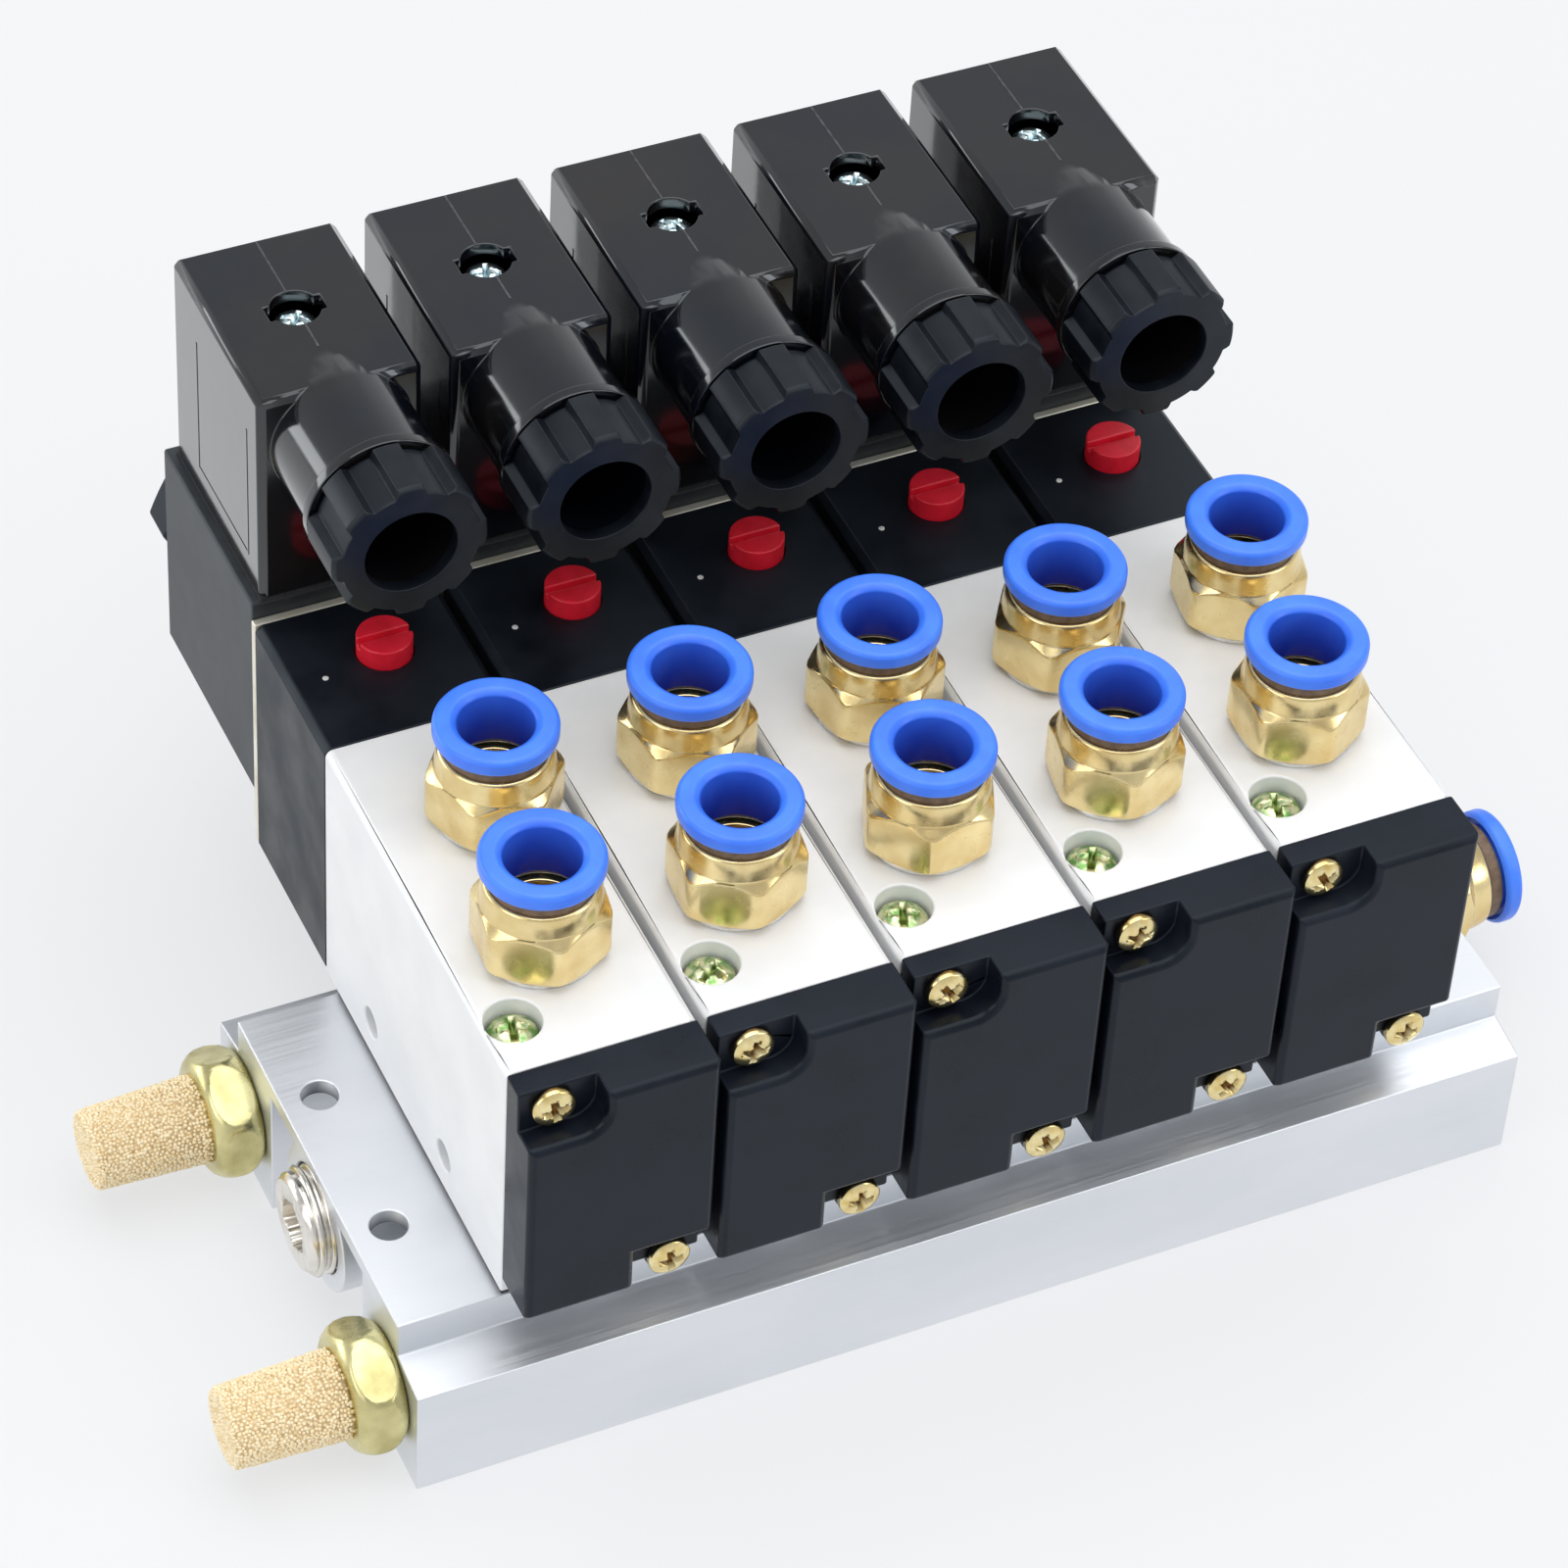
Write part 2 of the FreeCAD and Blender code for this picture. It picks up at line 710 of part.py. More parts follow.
def terminal_block():
    half = connector_inner_half - terminal_block_gap
    y0 = connector_front_y + connector_wall + terminal_block_gap
    y1 = connector_back_y - connector_wall - terminal_block_gap
    top_z = connector_bottom_z + terminal_block_height
    shape = box(-half, half, y0, y1, connector_bottom_z, top_z)
    post_start = V(0, connector_screw_at_y, top_z)
    post_end = V(0, connector_screw_at_y, connector_seat_z)
    hole_start = V(0, connector_screw_at_y, connector_bottom_z)
    cuts = [rod(hole_start, post_end, connector_screw_radius + screw_hole_clearance)]
    slot_top = coil_top_z + blade_height + blade_clearance
    cuts += [blade_box(*place, connector_bottom_z, slot_top, blade_clearance) for place in blade_places()]
    return shape.fuse(rod(post_start, post_end, terminal_post_radius)).cut(cuts)


def connector_screw():
    length = connector_seat_z - coil_top_z + connector_screw_engagement
    one = screw(length, connector_screw_radius, connector_screw_head_height, connector_screw_head_radius)
    return placed(one, V(0, connector_screw_at_y, connector_seat_z), V(0, 0, 1))


def entry_boss():
    """The cable boss, turned about the entry axis; its inner end tapers in below the housing's top."""
    top_radius = connector_top_z - entry_axis_z
    ring_start = entry_boss_reach - entry_ring_width
    spigot_end = connector_front_y - spigot_front_y
    solid = turned([
        (-entry_hump_length, 0),
        (-entry_hump_length, top_radius),
        (0, entry_boss_radius),
        (ring_start, entry_boss_radius),
        (ring_start, entry_ring_radius),
        (entry_boss_reach, entry_ring_radius),
        (entry_boss_reach, entry_spigot_radius),
        (spigot_end, entry_spigot_radius),
        (spigot_end, 0),
    ])
    return placed(solid, V(0, connector_front_y, entry_axis_z), V(0, -1, 0))


def connector_housing():
    half = connector_half_width
    shape = box(-half, half, connector_front_y, connector_back_y, connector_bottom_z, connector_top_z)
    shape = bevelled(
        shape,
        connector_bevel,
        lambda a, b: abs(a.z - b.z) > 1 or min(a.z, b.z) > connector_top_z - 1,
    )
    inner = connector_inner_half
    cavity = box(
        -inner, inner, connector_front_y + connector_wall, connector_back_y - connector_wall,
        connector_bottom_z, connector_top_z - connector_wall,
    )
    entry_start = V(0, spigot_front_y, entry_axis_z)
    entry_bore = rod(entry_start, V(0, connector_front_y + connector_wall, entry_axis_z), entry_bore_radius)
    hole_start = V(0, connector_screw_at_y, connector_top_z - 2 * connector_wall)
    hole_end = V(0, connector_screw_at_y, connector_top_z)
    ear = box(
        -connector_ear_reach, connector_ear_reach,
        connector_screw_at_y - connector_ear_width / 2, connector_screw_at_y + connector_ear_width / 2,
        hole_start.z, hole_end.z,
    )
    cuts = [cavity, entry_bore, rod(hole_start, hole_end, connector_hole_radius), ear]
    return shape.fuse(entry_boss()).cut(cuts)


def gland_nut():
    front = V(0, gland_front_y, entry_axis_z)
    back = V(0, gland_back_y, entry_axis_z)
    shape = rod(front, back, gland_radius)
    flute_reach = gland_radius + gland_flute_radius - gland_flute_depth
    cuts = []
    for i in range(gland_flute_count):
        angle = 2 * math.pi * (i + 0.5) / gland_flute_count
        offset = V(flute_reach * math.cos(angle), 0, flute_reach * math.sin(angle))
        cuts.append(rod(front + offset, back + offset, gland_flute_radius))
    thread_start = V(0, gland_front_y + gland_front_wall, entry_axis_z)
    cuts.append(rod(thread_start, back, entry_spigot_radius + gland_thread_clearance))
    cuts.append(rod(front, back, gland_hole_radius))
    return shape.cut(cuts)


# Push-in fittings: a hexagon body with turned corners, a round neck and a threaded stub, and a release collar
# whose sleeve slides in the neck. Both are made along Z, standing on Z = 0.
def fitting_body(thread_radius):
    neck_top = fitting_hex_height + fitting_neck_height
    base = V(0, 0, 0)
    stub_end = V(0, 0, -fitting_stub_length)
    sleeve_floor = neck_top - collar_sleeve_length - collar_gap
    outline = turned([
        (0, 0),
        (0, fitting_foot_radius),
        (fitting_foot_chamfer, fitting_corner_radius),
        (fitting_hex_height - fitting_shoulder, fitting_corner_radius),
        (fitting_hex_height, fitting_neck_radius),
        (neck_top, fitting_neck_radius),
        (neck_top, 0),
    ])
    shape = hexagon(base, fitting_hex_flats, V(0, 0, neck_top), V(1, 0, 0)).common(outline)
    return shape.fuse(rod(stub_end, base, thread_radius)).cut([
        rod(V(0, 0, sleeve_floor), V(0, 0, neck_top), collar_sleeve_radius + collar_sleeve_clearance),
        rod(base, V(0, 0, neck_top), tube_socket_radius),
        rod(stub_end, base, fitting_way_radius),
    ])


def release_collar():
    neck_top = fitting_hex_height + fitting_neck_height
    flange_z = neck_top + collar_gap
    rim_z = flange_z + collar_flange_thickness
    return turned([
        (neck_top - collar_sleeve_length, collar_bore_radius),
        (neck_top - collar_sleeve_length, collar_sleeve_radius),
        (flange_z, collar_sleeve_radius),
        (flange_z, collar_flange_radius - collar_edge_bevel),
        (flange_z + collar_edge_bevel, collar_flange_radius),
        (rim_z, collar_flange_radius),
        (rim_z, collar_bore_radius),
    ])


def fitting_places():
    """Name, place, direction and thread radius of every fitting."""
    places = []
    for i, x in enumerate(station_x):
        for letter, (dx, y) in (("a", work_port_a), ("b", work_port_b)):
            name = letter + str(i + 1)
            at = V(x + dx, y, body_top_z)
            places.append((name, at, V(0, 0, 1), eighth_thread_radius))
    inlet = V(base_end_x, 0, supply_axis_z)
    places.append(("inlet", inlet, V(1, 0, 0), quarter_thread_radius - thread_clearance))
    return places


# Silencers at the left ends of the exhaust galleries, and plugs in the galleries' other ends.
def silencer_hex():
    base = V(0, 0, 0)
    stub_end = V(0, 0, -silencer_stub_length)
    top = V(0, 0, silencer_hex_length)
    shape = turned_hexagon(silencer_hex_flats, silencer_hex_length, silencer_face_radius, silencer_chamfer)
    shape = shape.fuse(rod(stub_end, base, eighth_thread_radius - thread_clearance))
    return shape.cut(rod(stub_end, top, silencer_bore_radius))


def silencer_element():
    start = silencer_hex_length
    end = start + silencer_length
    return turned([
        (start, silencer_bore_radius),
        (start, silencer_base_radius),
        (end, silencer_tip_radius),
        (end, 0),
        (start + silencer_bore_depth, 0),
        (start + silencer_bore_depth, silencer_bore_radius),
    ])


def port_plug(radius, length, socket_flats):
    """A socket plug along Z whose outer face lies on Z = 0."""
    shape = rod(V(0, 0, -length), V(0, 0, 0), radius)
    socket_floor = V(0, 0, -plug_socket_depth)
    return shape.cut(hexagon(socket_floor, socket_flats, V(0, 0, plug_socket_depth), V(1, 0, 0)))


def port_plugs():
    supply = port_plug(quarter_thread_radius - thread_clearance, supply_plug_length, supply_plug_socket_flats)
    exhaust = port_plug(eighth_thread_radius - thread_clearance, plug_length, exhaust_plug_socket_flats)
    plugs = [placed(supply, V(-base_end_x - supply_plug_rise, 0, supply_axis_z), V(-1, 0, 0))]
    for side in (-1, 1):
        at = V(base_end_x - plug_recess, side * exhaust_axis_y, exhaust_axis_z)
        plugs.append(placed(exhaust, at, V(1, 0, 0)))
    return plugs


def at_exhaust_ends(shape):
    return [
        placed(shape, V(-base_end_x, side * exhaust_axis_y, exhaust_axis_z), V(-1, 0, 0))
        for side in (-1, 1)
    ]


save("manifold_base", [manifold_base()])
save("mounting_screws", mounting_screws())
save("end_cap_screws", cap_screws())
save("silencer_hexes", at_exhaust_ends(silencer_hex()))
save("silencer_elements", at_exhaust_ends(silencer_element()))
save("port_plugs", port_plugs())

fixed_pieces = {
    "body_gaskets": body_gasket,
    "valve_bodies": valve_body,
    "end_caps": end_cap,
    "spool_springs": spool_spring,
    "pilot_heads": pilot_head,
    "override_springs": override_spring,
    "coil_plates": coil_plate,
    "core_tubes": core_tube,
    "armature_springs": armature_spring,
    "coils": coil,
    "coil_nuts": coil_nut,
    "terminal_blades": terminal_blades,
    "connector_gaskets": connector_gasket,
    "terminal_blocks": terminal_block,
    "connector_housings": connector_housing,
    "connector_screws": connector_screw,
    "gland_nuts": gland_nut,
}
for name, make in fixed_pieces.items():
    save_at_stations(name, make())

moving_pieces = {
    "spool": spool,
    "armature": armature,
    "override_pin": override_pin,
    "override_button": override_button,
}
for name, make in moving_pieces.items():
    shape = make()
    for i, x in enumerate(station_x):
        save(name + "_" + str(i + 1), [at_station(shape, x)])

bodies = []
for name, at, way, thread_radius in fitting_places():
    bodies.append(placed(fitting_body(thread_radius), at, way))
    save("release_collar_" + name, [placed(release_collar(), at, way)])
save("fitting_bodies", bodies)
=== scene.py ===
import bmesh
import bpy
import math
from mathutils import Matrix, Vector


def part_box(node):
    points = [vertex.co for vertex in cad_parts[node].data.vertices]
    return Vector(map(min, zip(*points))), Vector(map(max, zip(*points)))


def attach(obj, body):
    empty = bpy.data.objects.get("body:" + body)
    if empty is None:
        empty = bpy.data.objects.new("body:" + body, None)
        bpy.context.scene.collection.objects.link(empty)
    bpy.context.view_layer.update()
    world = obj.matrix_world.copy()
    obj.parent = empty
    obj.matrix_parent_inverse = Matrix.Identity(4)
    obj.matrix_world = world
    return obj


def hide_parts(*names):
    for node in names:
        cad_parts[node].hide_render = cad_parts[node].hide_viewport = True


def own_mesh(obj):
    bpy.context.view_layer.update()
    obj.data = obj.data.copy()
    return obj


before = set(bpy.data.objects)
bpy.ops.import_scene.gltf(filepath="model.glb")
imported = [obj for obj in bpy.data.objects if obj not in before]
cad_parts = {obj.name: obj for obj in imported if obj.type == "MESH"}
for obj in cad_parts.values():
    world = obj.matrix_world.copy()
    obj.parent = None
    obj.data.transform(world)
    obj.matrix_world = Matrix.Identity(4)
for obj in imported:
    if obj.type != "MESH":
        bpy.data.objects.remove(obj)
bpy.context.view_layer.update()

# Camera. It looks down at the row from in front of its left end, with a long lens and a slight roll; its
# place, turn and lens were solved from the row's equal steps.
scene = bpy.context.scene
camera = bpy.data.objects.new("camera", bpy.data.cameras.new("camera"))
scene.collection.objects.link(camera)
scene.camera = camera
camera.data.sensor_width = 36.0
camera.data.lens = 137.96
camera.data.clip_start = 0.01
camera.data.clip_end = 20.0
azimuth, elevation, roll = (math.radians(a) for a in (-27.1703, 44.4173, 3.9402))
backward = Vector((
    math.sin(azimuth) * math.cos(elevation),
    -math.cos(azimuth) * math.cos(elevation),
    math.sin(elevation),
))
level = Vector((0, 0, 1)).cross(backward).normalized()
upward = backward.cross(level)
right = level * math.cos(roll) + upward * math.sin(roll)
above = upward * math.cos(roll) - level * math.sin(roll)
camera_place = Matrix.Translation((-0.2288257, -0.4189918, 0.5019992))
camera.matrix_world = camera_place @ Matrix((right, above, backward)).transposed().to_4x4()

# Studio. A pale floor that keeps a faint shadow runs out to a wall that is darker higher up. The room's even
# light, three soft panels and a low streak light fall on the part.
scene.view_settings.view_transform = "Standard"


def pale_rays(nodes, links):
    """1 for the rays that show the studio itself: seen straight, in a gloss or through glass."""
    ray = nodes.new("ShaderNodeLightPath")
    either = ray.outputs["Is Camera Ray"]
    for kind in ("Is Glossy Ray", "Is Transmission Ray"):
        more = nodes.new("ShaderNodeMath")
        more.operation = "MAXIMUM"
        links.new(either, more.inputs[0])
        links.new(ray.outputs[kind], more.inputs[1])
        either = more.outputs[0]
    return either


room = bpy.data.worlds.new("room")
room.use_nodes = True
nodes, links = room.node_tree.nodes, room.node_tree.links
nodes["Background"].inputs["Color"].default_value = (0.95, 0.97, 1.0, 1)
nodes["Background"].inputs["Strength"].default_value = 0.52
direction = nodes.new("ShaderNodeTexCoord")
height = nodes.new("ShaderNodeSeparateXYZ")
wall = nodes.new("ShaderNodeValToRGB")
wall.color_ramp.elements[0].color = (0.75, 0.757, 0.775, 1)
wall.color_ramp.elements[1].position = 0.7
wall.color_ramp.elements[1].color = (0.48, 0.49, 0.51, 1)
backdrop = nodes.new("ShaderNodeBackground")
horizon = nodes.new("ShaderNodeMixShader")
links.new(direction.outputs["Generated"], height.inputs[0])
links.new(height.outputs["Z"], wall.inputs["Fac"])
links.new(wall.outputs["Color"], backdrop.inputs["Color"])
links.new(pale_rays(nodes, links), horizon.inputs["Fac"])
links.new(nodes["Background"].outputs[0], horizon.inputs[1])
links.new(backdrop.outputs[0], horizon.inputs[2])
links.new(horizon.outputs[0], nodes["World Output"].inputs["Surface"])
scene.world = room
part_middle = Vector((0, 0.02, 0.02))


def soft_panel(name, place, width, height, power, tint=(1, 1, 1)):
    """A rectangular area lamp that faces the middle of the part."""
    lamp = bpy.data.objects.new(name, bpy.data.lights.new(name, "AREA"))
    lamp.data.shape = "RECTANGLE"
    lamp.data.size = width
    lamp.data.size_y = height
    lamp.data.energy = power
    lamp.data.color = tint
    lamp.location = place
    lamp.rotation_mode = "QUATERNION"
    lamp.rotation_quaternion = (part_middle - Vector(place)).to_track_quat("-Z", "Y")
    scene.collection.objects.link(lamp)


soft_panel("overhead_panel", (0.05, 0.02, 0.90), 1.3, 1.1, 8.2)
soft_panel("left_panel", (-0.8, -0.2, 0.43), 0.5, 0.5, 1.5)
soft_panel("right_panel", (0.7, -0.6, 0.48), 0.4, 0.4, 1.5, (0.97, 0.98, 1.0))
soft_panel("streak_panel", (-0.77, 0.68, 0.185), 0.6, 0.25, 1.5)

floor_reach = 4
base_underside = -0.02125
floor = bpy.data.objects.new("floor", bpy.data.meshes.new("floor"))
floor_corners = [(x * floor_reach, y * floor_reach, 0) for x, y in ((-1, -1), (1, -1), (1, 1), (-1, 1))]
floor.data.from_pydata(floor_corners, [], [(0, 1, 2, 3)])
floor.location.z = base_underside
scene.collection.objects.link(floor)
paper = bpy.data.materials.new("studio_paper")
paper.use_nodes = True
nodes, links = paper.node_tree.nodes, paper.node_tree.links
paper_shader = nodes["Principled BSDF"]
paper_shader.inputs["Base Color"].default_value = (0.82, 0.83, 0.845, 1)
paper_shader.inputs["Roughness"].default_value = 0.9
glow = nodes.new("ShaderNodeEmission")
glow.inputs["Color"].default_value = (0.878, 0.886, 0.903, 1)
share = nodes.new("ShaderNodeMath")
share.operation = "MULTIPLY"
glow_share = 0.7
share.inputs[1].default_value = glow_share
links.new(pale_rays(nodes, links), share.inputs[0])
blend = nodes.new("ShaderNodeMixShader")
links.new(share.outputs[0], blend.inputs["Fac"])
links.new(paper_shader.outputs[0], blend.inputs[1])
links.new(glow.outputs[0], blend.inputs[2])
links.new(blend.outputs[0], nodes["Material Output"].inputs["Surface"])
floor.data.materials.append(paper)

# Manifold base. One length of extruded aluminium, sawn off at both ends and drilled; its skin keeps the
# die's fine lines along its length, and its edges are only broken.
mm = 0.001


def finish(name, colour, metal, rough, **plain):
    """A material whose shader has these plain values; its pattern is added after."""
    made = bpy.data.materials.new(name)
    made.use_nodes = True
    shader = made.node_tree.nodes["Principled BSDF"]
    shader.inputs["Base Color"].default_value = (*colour, 1)
    shader.inputs["Metallic"].default_value = metal
    shader.inputs["Roughness"].default_value = rough
    for socket, value in plain.items():
        shader.inputs[socket.replace("_", " ")].default_value = value
    return made


def pattern(made, size, stretch=(1, 1, 1), **settings):
    """Noise on the piece's own coordinates, with features about size millimetres across."""
    nodes, links = made.node_tree.nodes, made.node_tree.links
    place = nodes.new("ShaderNodeTexCoord")
    mapping = nodes.new("ShaderNodeMapping")
    mapping.inputs["Scale"].default_value = stretch
    texture = nodes.new("ShaderNodeTexNoise")
    texture.inputs["Scale"].default_value = 1000 / size
    for socket, value in settings.items():
        texture.inputs[socket.replace("_", " ")].default_value = value
    links.new(place.outputs["Object"], mapping.inputs["Vector"])
    links.new(mapping.outputs["Vector"], texture.inputs["Vector"])
    return texture.outputs[0]


def tinted(made, source, low, high, start=0.35, end=0.65):
    """The base colour runs from low to high as the source runs from start to end."""
    nodes, links = made.node_tree.nodes, made.node_tree.links
    ramp = nodes.new("ShaderNodeValToRGB")
    ramp.color_ramp.elements[0].position = start
    ramp.color_ramp.elements[1].position = end
    ramp.color_ramp.elements[0].color = (*low, 1)
    ramp.color_ramp.elements[1].color = (*high, 1)
    links.new(source, ramp.inputs["Fac"])
    links.new(ramp.outputs["Color"], nodes["Principled BSDF"].inputs["Base Color"])


def worn(made, source, low, high, start=0.35, end=0.65):
    """The roughness runs from low to high as the source runs from start to end."""
    nodes, links = made.node_tree.nodes, made.node_tree.links
    span = nodes.new("ShaderNodeMapRange")
    span.inputs["From Min"].default_value = start
    span.inputs["From Max"].default_value = end
    span.inputs["To Min"].default_value = low
    span.inputs["To Max"].default_value = high
    links.new(source, span.inputs["Value"])
    links.new(span.outputs["Result"], nodes["Principled BSDF"].inputs["Roughness"])


def relief(made, source, depth, strength=0.5):
    """A fine relief of depth millimetres on top of the relief that is already there."""
    nodes, links = made.node_tree.nodes, made.node_tree.links
    bump = nodes.new("ShaderNodeBump")
    bump.inputs["Strength"].default_value = strength
    bump.inputs["Distance"].default_value = depth * mm
    normal = nodes["Principled BSDF"].inputs["Normal"]
    if normal.links:
        links.new(normal.links[0].from_socket, bump.inputs["Normal"])
    links.new(source, bump.inputs["Height"])
    links.new(bump.outputs["Normal"], normal)


def painted_recess_shade(made, colour):
    """Painted shade: the base colour turns to this darker one where the attribute recess is 1, deep in a
    hole or a slot.
    """
    nodes, links = made.node_tree.nodes, made.node_tree.links
    socket = nodes["Principled BSDF"].inputs["Base Color"]
    mark = nodes.new("ShaderNodeAttribute")
    mark.attribute_name = "recess"
    mix = nodes.new("ShaderNodeMix")
    mix.data_type = "RGBA"
    # inputs 6 and 7 are the two colours, and output 2 is their mix
    links.new(mark.outputs["Fac"], mix.inputs["Factor"])
    links.new(socket.links[0].from_socket, mix.inputs[6])
    mix.inputs[7].default_value = (*colour, 1)
    links.new(mix.outputs[2], socket)


def shown(name, mesh, made):
    """An object for a finished mesh, shaded smooth."""
    mesh.polygons.foreach_set("use_smooth", [True] * len(mesh.polygons))
    mesh.materials.clear()
    mesh.materials.append(made)
    piece = bpy.data.objects.new(name, mesh)
    scene.collection.objects.link(piece)
    return piece


def edged(node, name, edge, made):
    """A copy of a piece with its triangles joined into whole faces and its edges rounded by edge mm."""
    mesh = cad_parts[node].data.copy()
    mesh.name = name
    joined = bmesh.new()
    joined.from_mesh(mesh)
    bmesh.ops.remove_doubles(joined, verts=joined.verts, dist=2e-6)
    bmesh.ops.dissolve_limit(joined, angle_limit=math.radians(0.6), verts=joined.verts, edges=joined.edges)
    joined.to_mesh(mesh)
    joined.free()
    if "custom_normal" in mesh.attributes:
        mesh.attributes.remove(mesh.attributes["custom_normal"])
    return softened(shown(name, mesh, made), edge, over=40)


def settled(piece):
    """The piece with the result of its modifiers as its own plain mesh."""
    graph = bpy.context.evaluated_depsgraph_get()
    mesh = bpy.data.meshes.new_from_object(piece.evaluated_get(graph))
    piece.modifiers.clear()
    piece.data = mesh
    return piece


def softened(piece, width, over=25):
    """The piece with every edge sharper than over degrees rounded by width mm."""
    bevel = piece.modifiers.new("edges", "BEVEL")
    bevel.width = width * mm
    bevel.segments = 2
    bevel.limit_method = "ANGLE"
    bevel.angle_limit = math.radians(over)
    bevel.use_clamp_overlap = False
    even = piece.modifiers.new("even", "WEIGHTED_NORMAL")
    even.keep_sharp = True
    return settled(piece)


extruded = finish("extruded_aluminium", (0.80, 0.815, 0.84), 1.0, 0.34)
die_lines = pattern(extruded, 0.25, (0.01, 1, 1), Detail=6.0, Roughness=0.6)
handling = pattern(extruded, 14, (0.4, 1, 1), Detail=3.0)
tinted(extruded, handling, (0.75, 0.775, 0.81), (0.81, 0.83, 0.86))
worn(extruded, die_lines, 0.39, 0.50)
relief(extruded, die_lines, 0.01, 0.3)
# Painted shade: the mounting holes turn dark grey below their rims, through the attribute recess set below.
painted_recess_shade(extruded, (0.16, 0.17, 0.19))
base = edged("manifold_base", "base_extrusion", 0.22, extruded)
hole_x, hole_y, hole_reach, rim_depth = 64.4 * mm, 10.5 * mm, 2.2 * mm, 0.3 * mm
bored = base.data.attributes.new("recess", "FLOAT", "POINT")
for v, mark in zip(base.data.vertices, bored.data):
    beside = Vector((abs(v.co.x) - hole_x, abs(v.co.y) - hole_y)).length
    mark.value = 1.0 if beside < hole_reach and v.co.z < -rim_depth else 0.0
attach(base, "manifold")
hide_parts("manifold_base")

# Body and connector gaskets. Flat black rubber sheets, cut to the foot of each valve and each connector and
# squeezed under it.
gasket_rubber = finish("gasket_rubber", (0.018, 0.018, 0.02), 0.0, 0.6)
rubber_grain = pattern(gasket_rubber, 0.3, Detail=4.0)
tinted(gasket_rubber, rubber_grain, (0.014, 0.014, 0.016), (0.03, 0.03, 0.033))
relief(gasket_rubber, rubber_grain, 0.02)
for node in ("body_gaskets", "connector_gaskets"):
    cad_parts[node].data.materials.clear()
    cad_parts[node].data.materials.append(gasket_rubber)

# Valve bodies. Five blocks cut from aluminium bar, bead blasted and clear anodised to a white silver,
# with the two long top edges rounded over.
blasted = finish("blasted_anodised_aluminium", (0.86, 0.865, 0.87), 0.15, 0.5)
blast = pattern(blasted, 0.09, Detail=3.0, Roughness=0.7)
cloud = pattern(blasted, 9, Detail=4.0)
tinted(blasted, cloud, (0.81, 0.818, 0.825), (0.865, 0.87, 0.875))
worn(blasted, blast, 0.42, 0.6)
relief(blasted, blast, 0.012, 0.5)
bodies = edged("valve_bodies", "valve_blocks", 0.3, blasted)
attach(bodies, "manifold")
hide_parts("valve_bodies")

# Mounting screws. Two steel screws with a green-yellow zinc coat clamp each valve to the base. They are
# cold-headed, with rolled threads and a pressed cross in the head, and each stopped at its own angle.
row_step = 23
stations = range(1, 6)
station_x = [(i - 3) * row_step for i in stations]
full_turn = 6.28
face_up = (0, 0, 0)


def turned(outline, reach=None, around=72):
    """A mesh turned about Z from its (height, radius) outline in mm; reach(angle) cuts the radius short."""
    made = bmesh.new()
    columns = []
    for i in range(around):
        angle = 2 * math.pi * i / around
        limit = reach(angle) if reach else math.inf
        column = []
        for j, (height, radius) in enumerate(outline):
            if radius > limit:
                beside = (outline[j - 1], outline[(j + 1) % len(outline)])
                for inner in [p for p in beside if p[1] < limit][:1]:
                    height = inner[0] + (limit - inner[1]) / (radius - inner[1]) * (height - inner[0])
                radius = limit
            place = Vector((radius * math.cos(angle), radius * math.sin(angle), height))
            column.append(made.verts.new(place * mm))
        columns.append(column)
    steps = len(outline) if outline[0][1] > 0 else len(outline) - 1
    for i, column in enumerate(columns):
        beside = columns[(i + 1) % around]
        for j in range(steps):
            k = (j + 1) % len(outline)
            made.faces.new((column[j], beside[j], beside[k], column[k]))
    bmesh.ops.remove_doubles(made, verts=made.verts, dist=1e-7)
    bmesh.ops.recalc_face_normals(made, faces=made.faces)
    mesh = bpy.data.meshes.new("turned")
    made.to_mesh(mesh)
    made.free()
    return mesh


def block(low, high, taper=0.0):
    """A mesh box between two corners in mm, whose lower end is smaller by taper on each side."""
    made = bmesh.new()
    bmesh.ops.create_cube(made, size=1.0)
    for v in made.verts:
        shrink = taper if v.co.z < 0 else 0.0
        for axis in range(3):
            side = (low[axis] + shrink, high[axis] - shrink) if axis < 2 else (low[axis], high[axis])
            v.co[axis] = side[v.co[axis] > 0] * mm
    mesh = bpy.data.meshes.new("block")
    made.to_mesh(mesh)
    made.free()
    return mesh


def cut_by(piece, *cutters):
    """The piece with these meshes cut out of it."""
    tools = [bpy.data.objects.new("cutter", mesh) for mesh in cutters]
    for tool in tools:
        scene.collection.objects.link(tool)
        cut = piece.modifiers.new("cut", "BOOLEAN")
        cut.operation = "DIFFERENCE"
        cut.solver = "EXACT"
        cut.object = tool
    settled(piece)
    for tool in tools:
        bpy.data.objects.remove(tool)
    return piece


def node_tree(name, **inputs):
    """A geometry tree with these inputs by name and kind, and the identifier of each."""
    tree = bpy.data.node_groups.new(name, "GeometryNodeTree")
    made = {}
    for label, kind in inputs.items():
        socket = tree.interface.new_socket(label, in_out="INPUT", socket_type="NodeSocket" + kind)
        made[label] = socket.identifier
    tree.interface.new_socket("Geometry", in_out="OUTPUT", socket_type="NodeSocketGeometry")
    return tree, made


copy_nodes, sockets = node_tree(
    "copies_on_points", Places="Geometry", Master="Object", Spin="Float", Seed="Int", Finish="Material"
)


def step(tree, kind, *wires, **settings):
    """A new node of a tree, wired from (output, input) pairs."""
    node = tree.nodes.new(kind)
    for key, value in settings.items():
        setattr(node, key, value)
    for output, socket in wires:
        tree.links.new(output, node.inputs[socket])
    return node


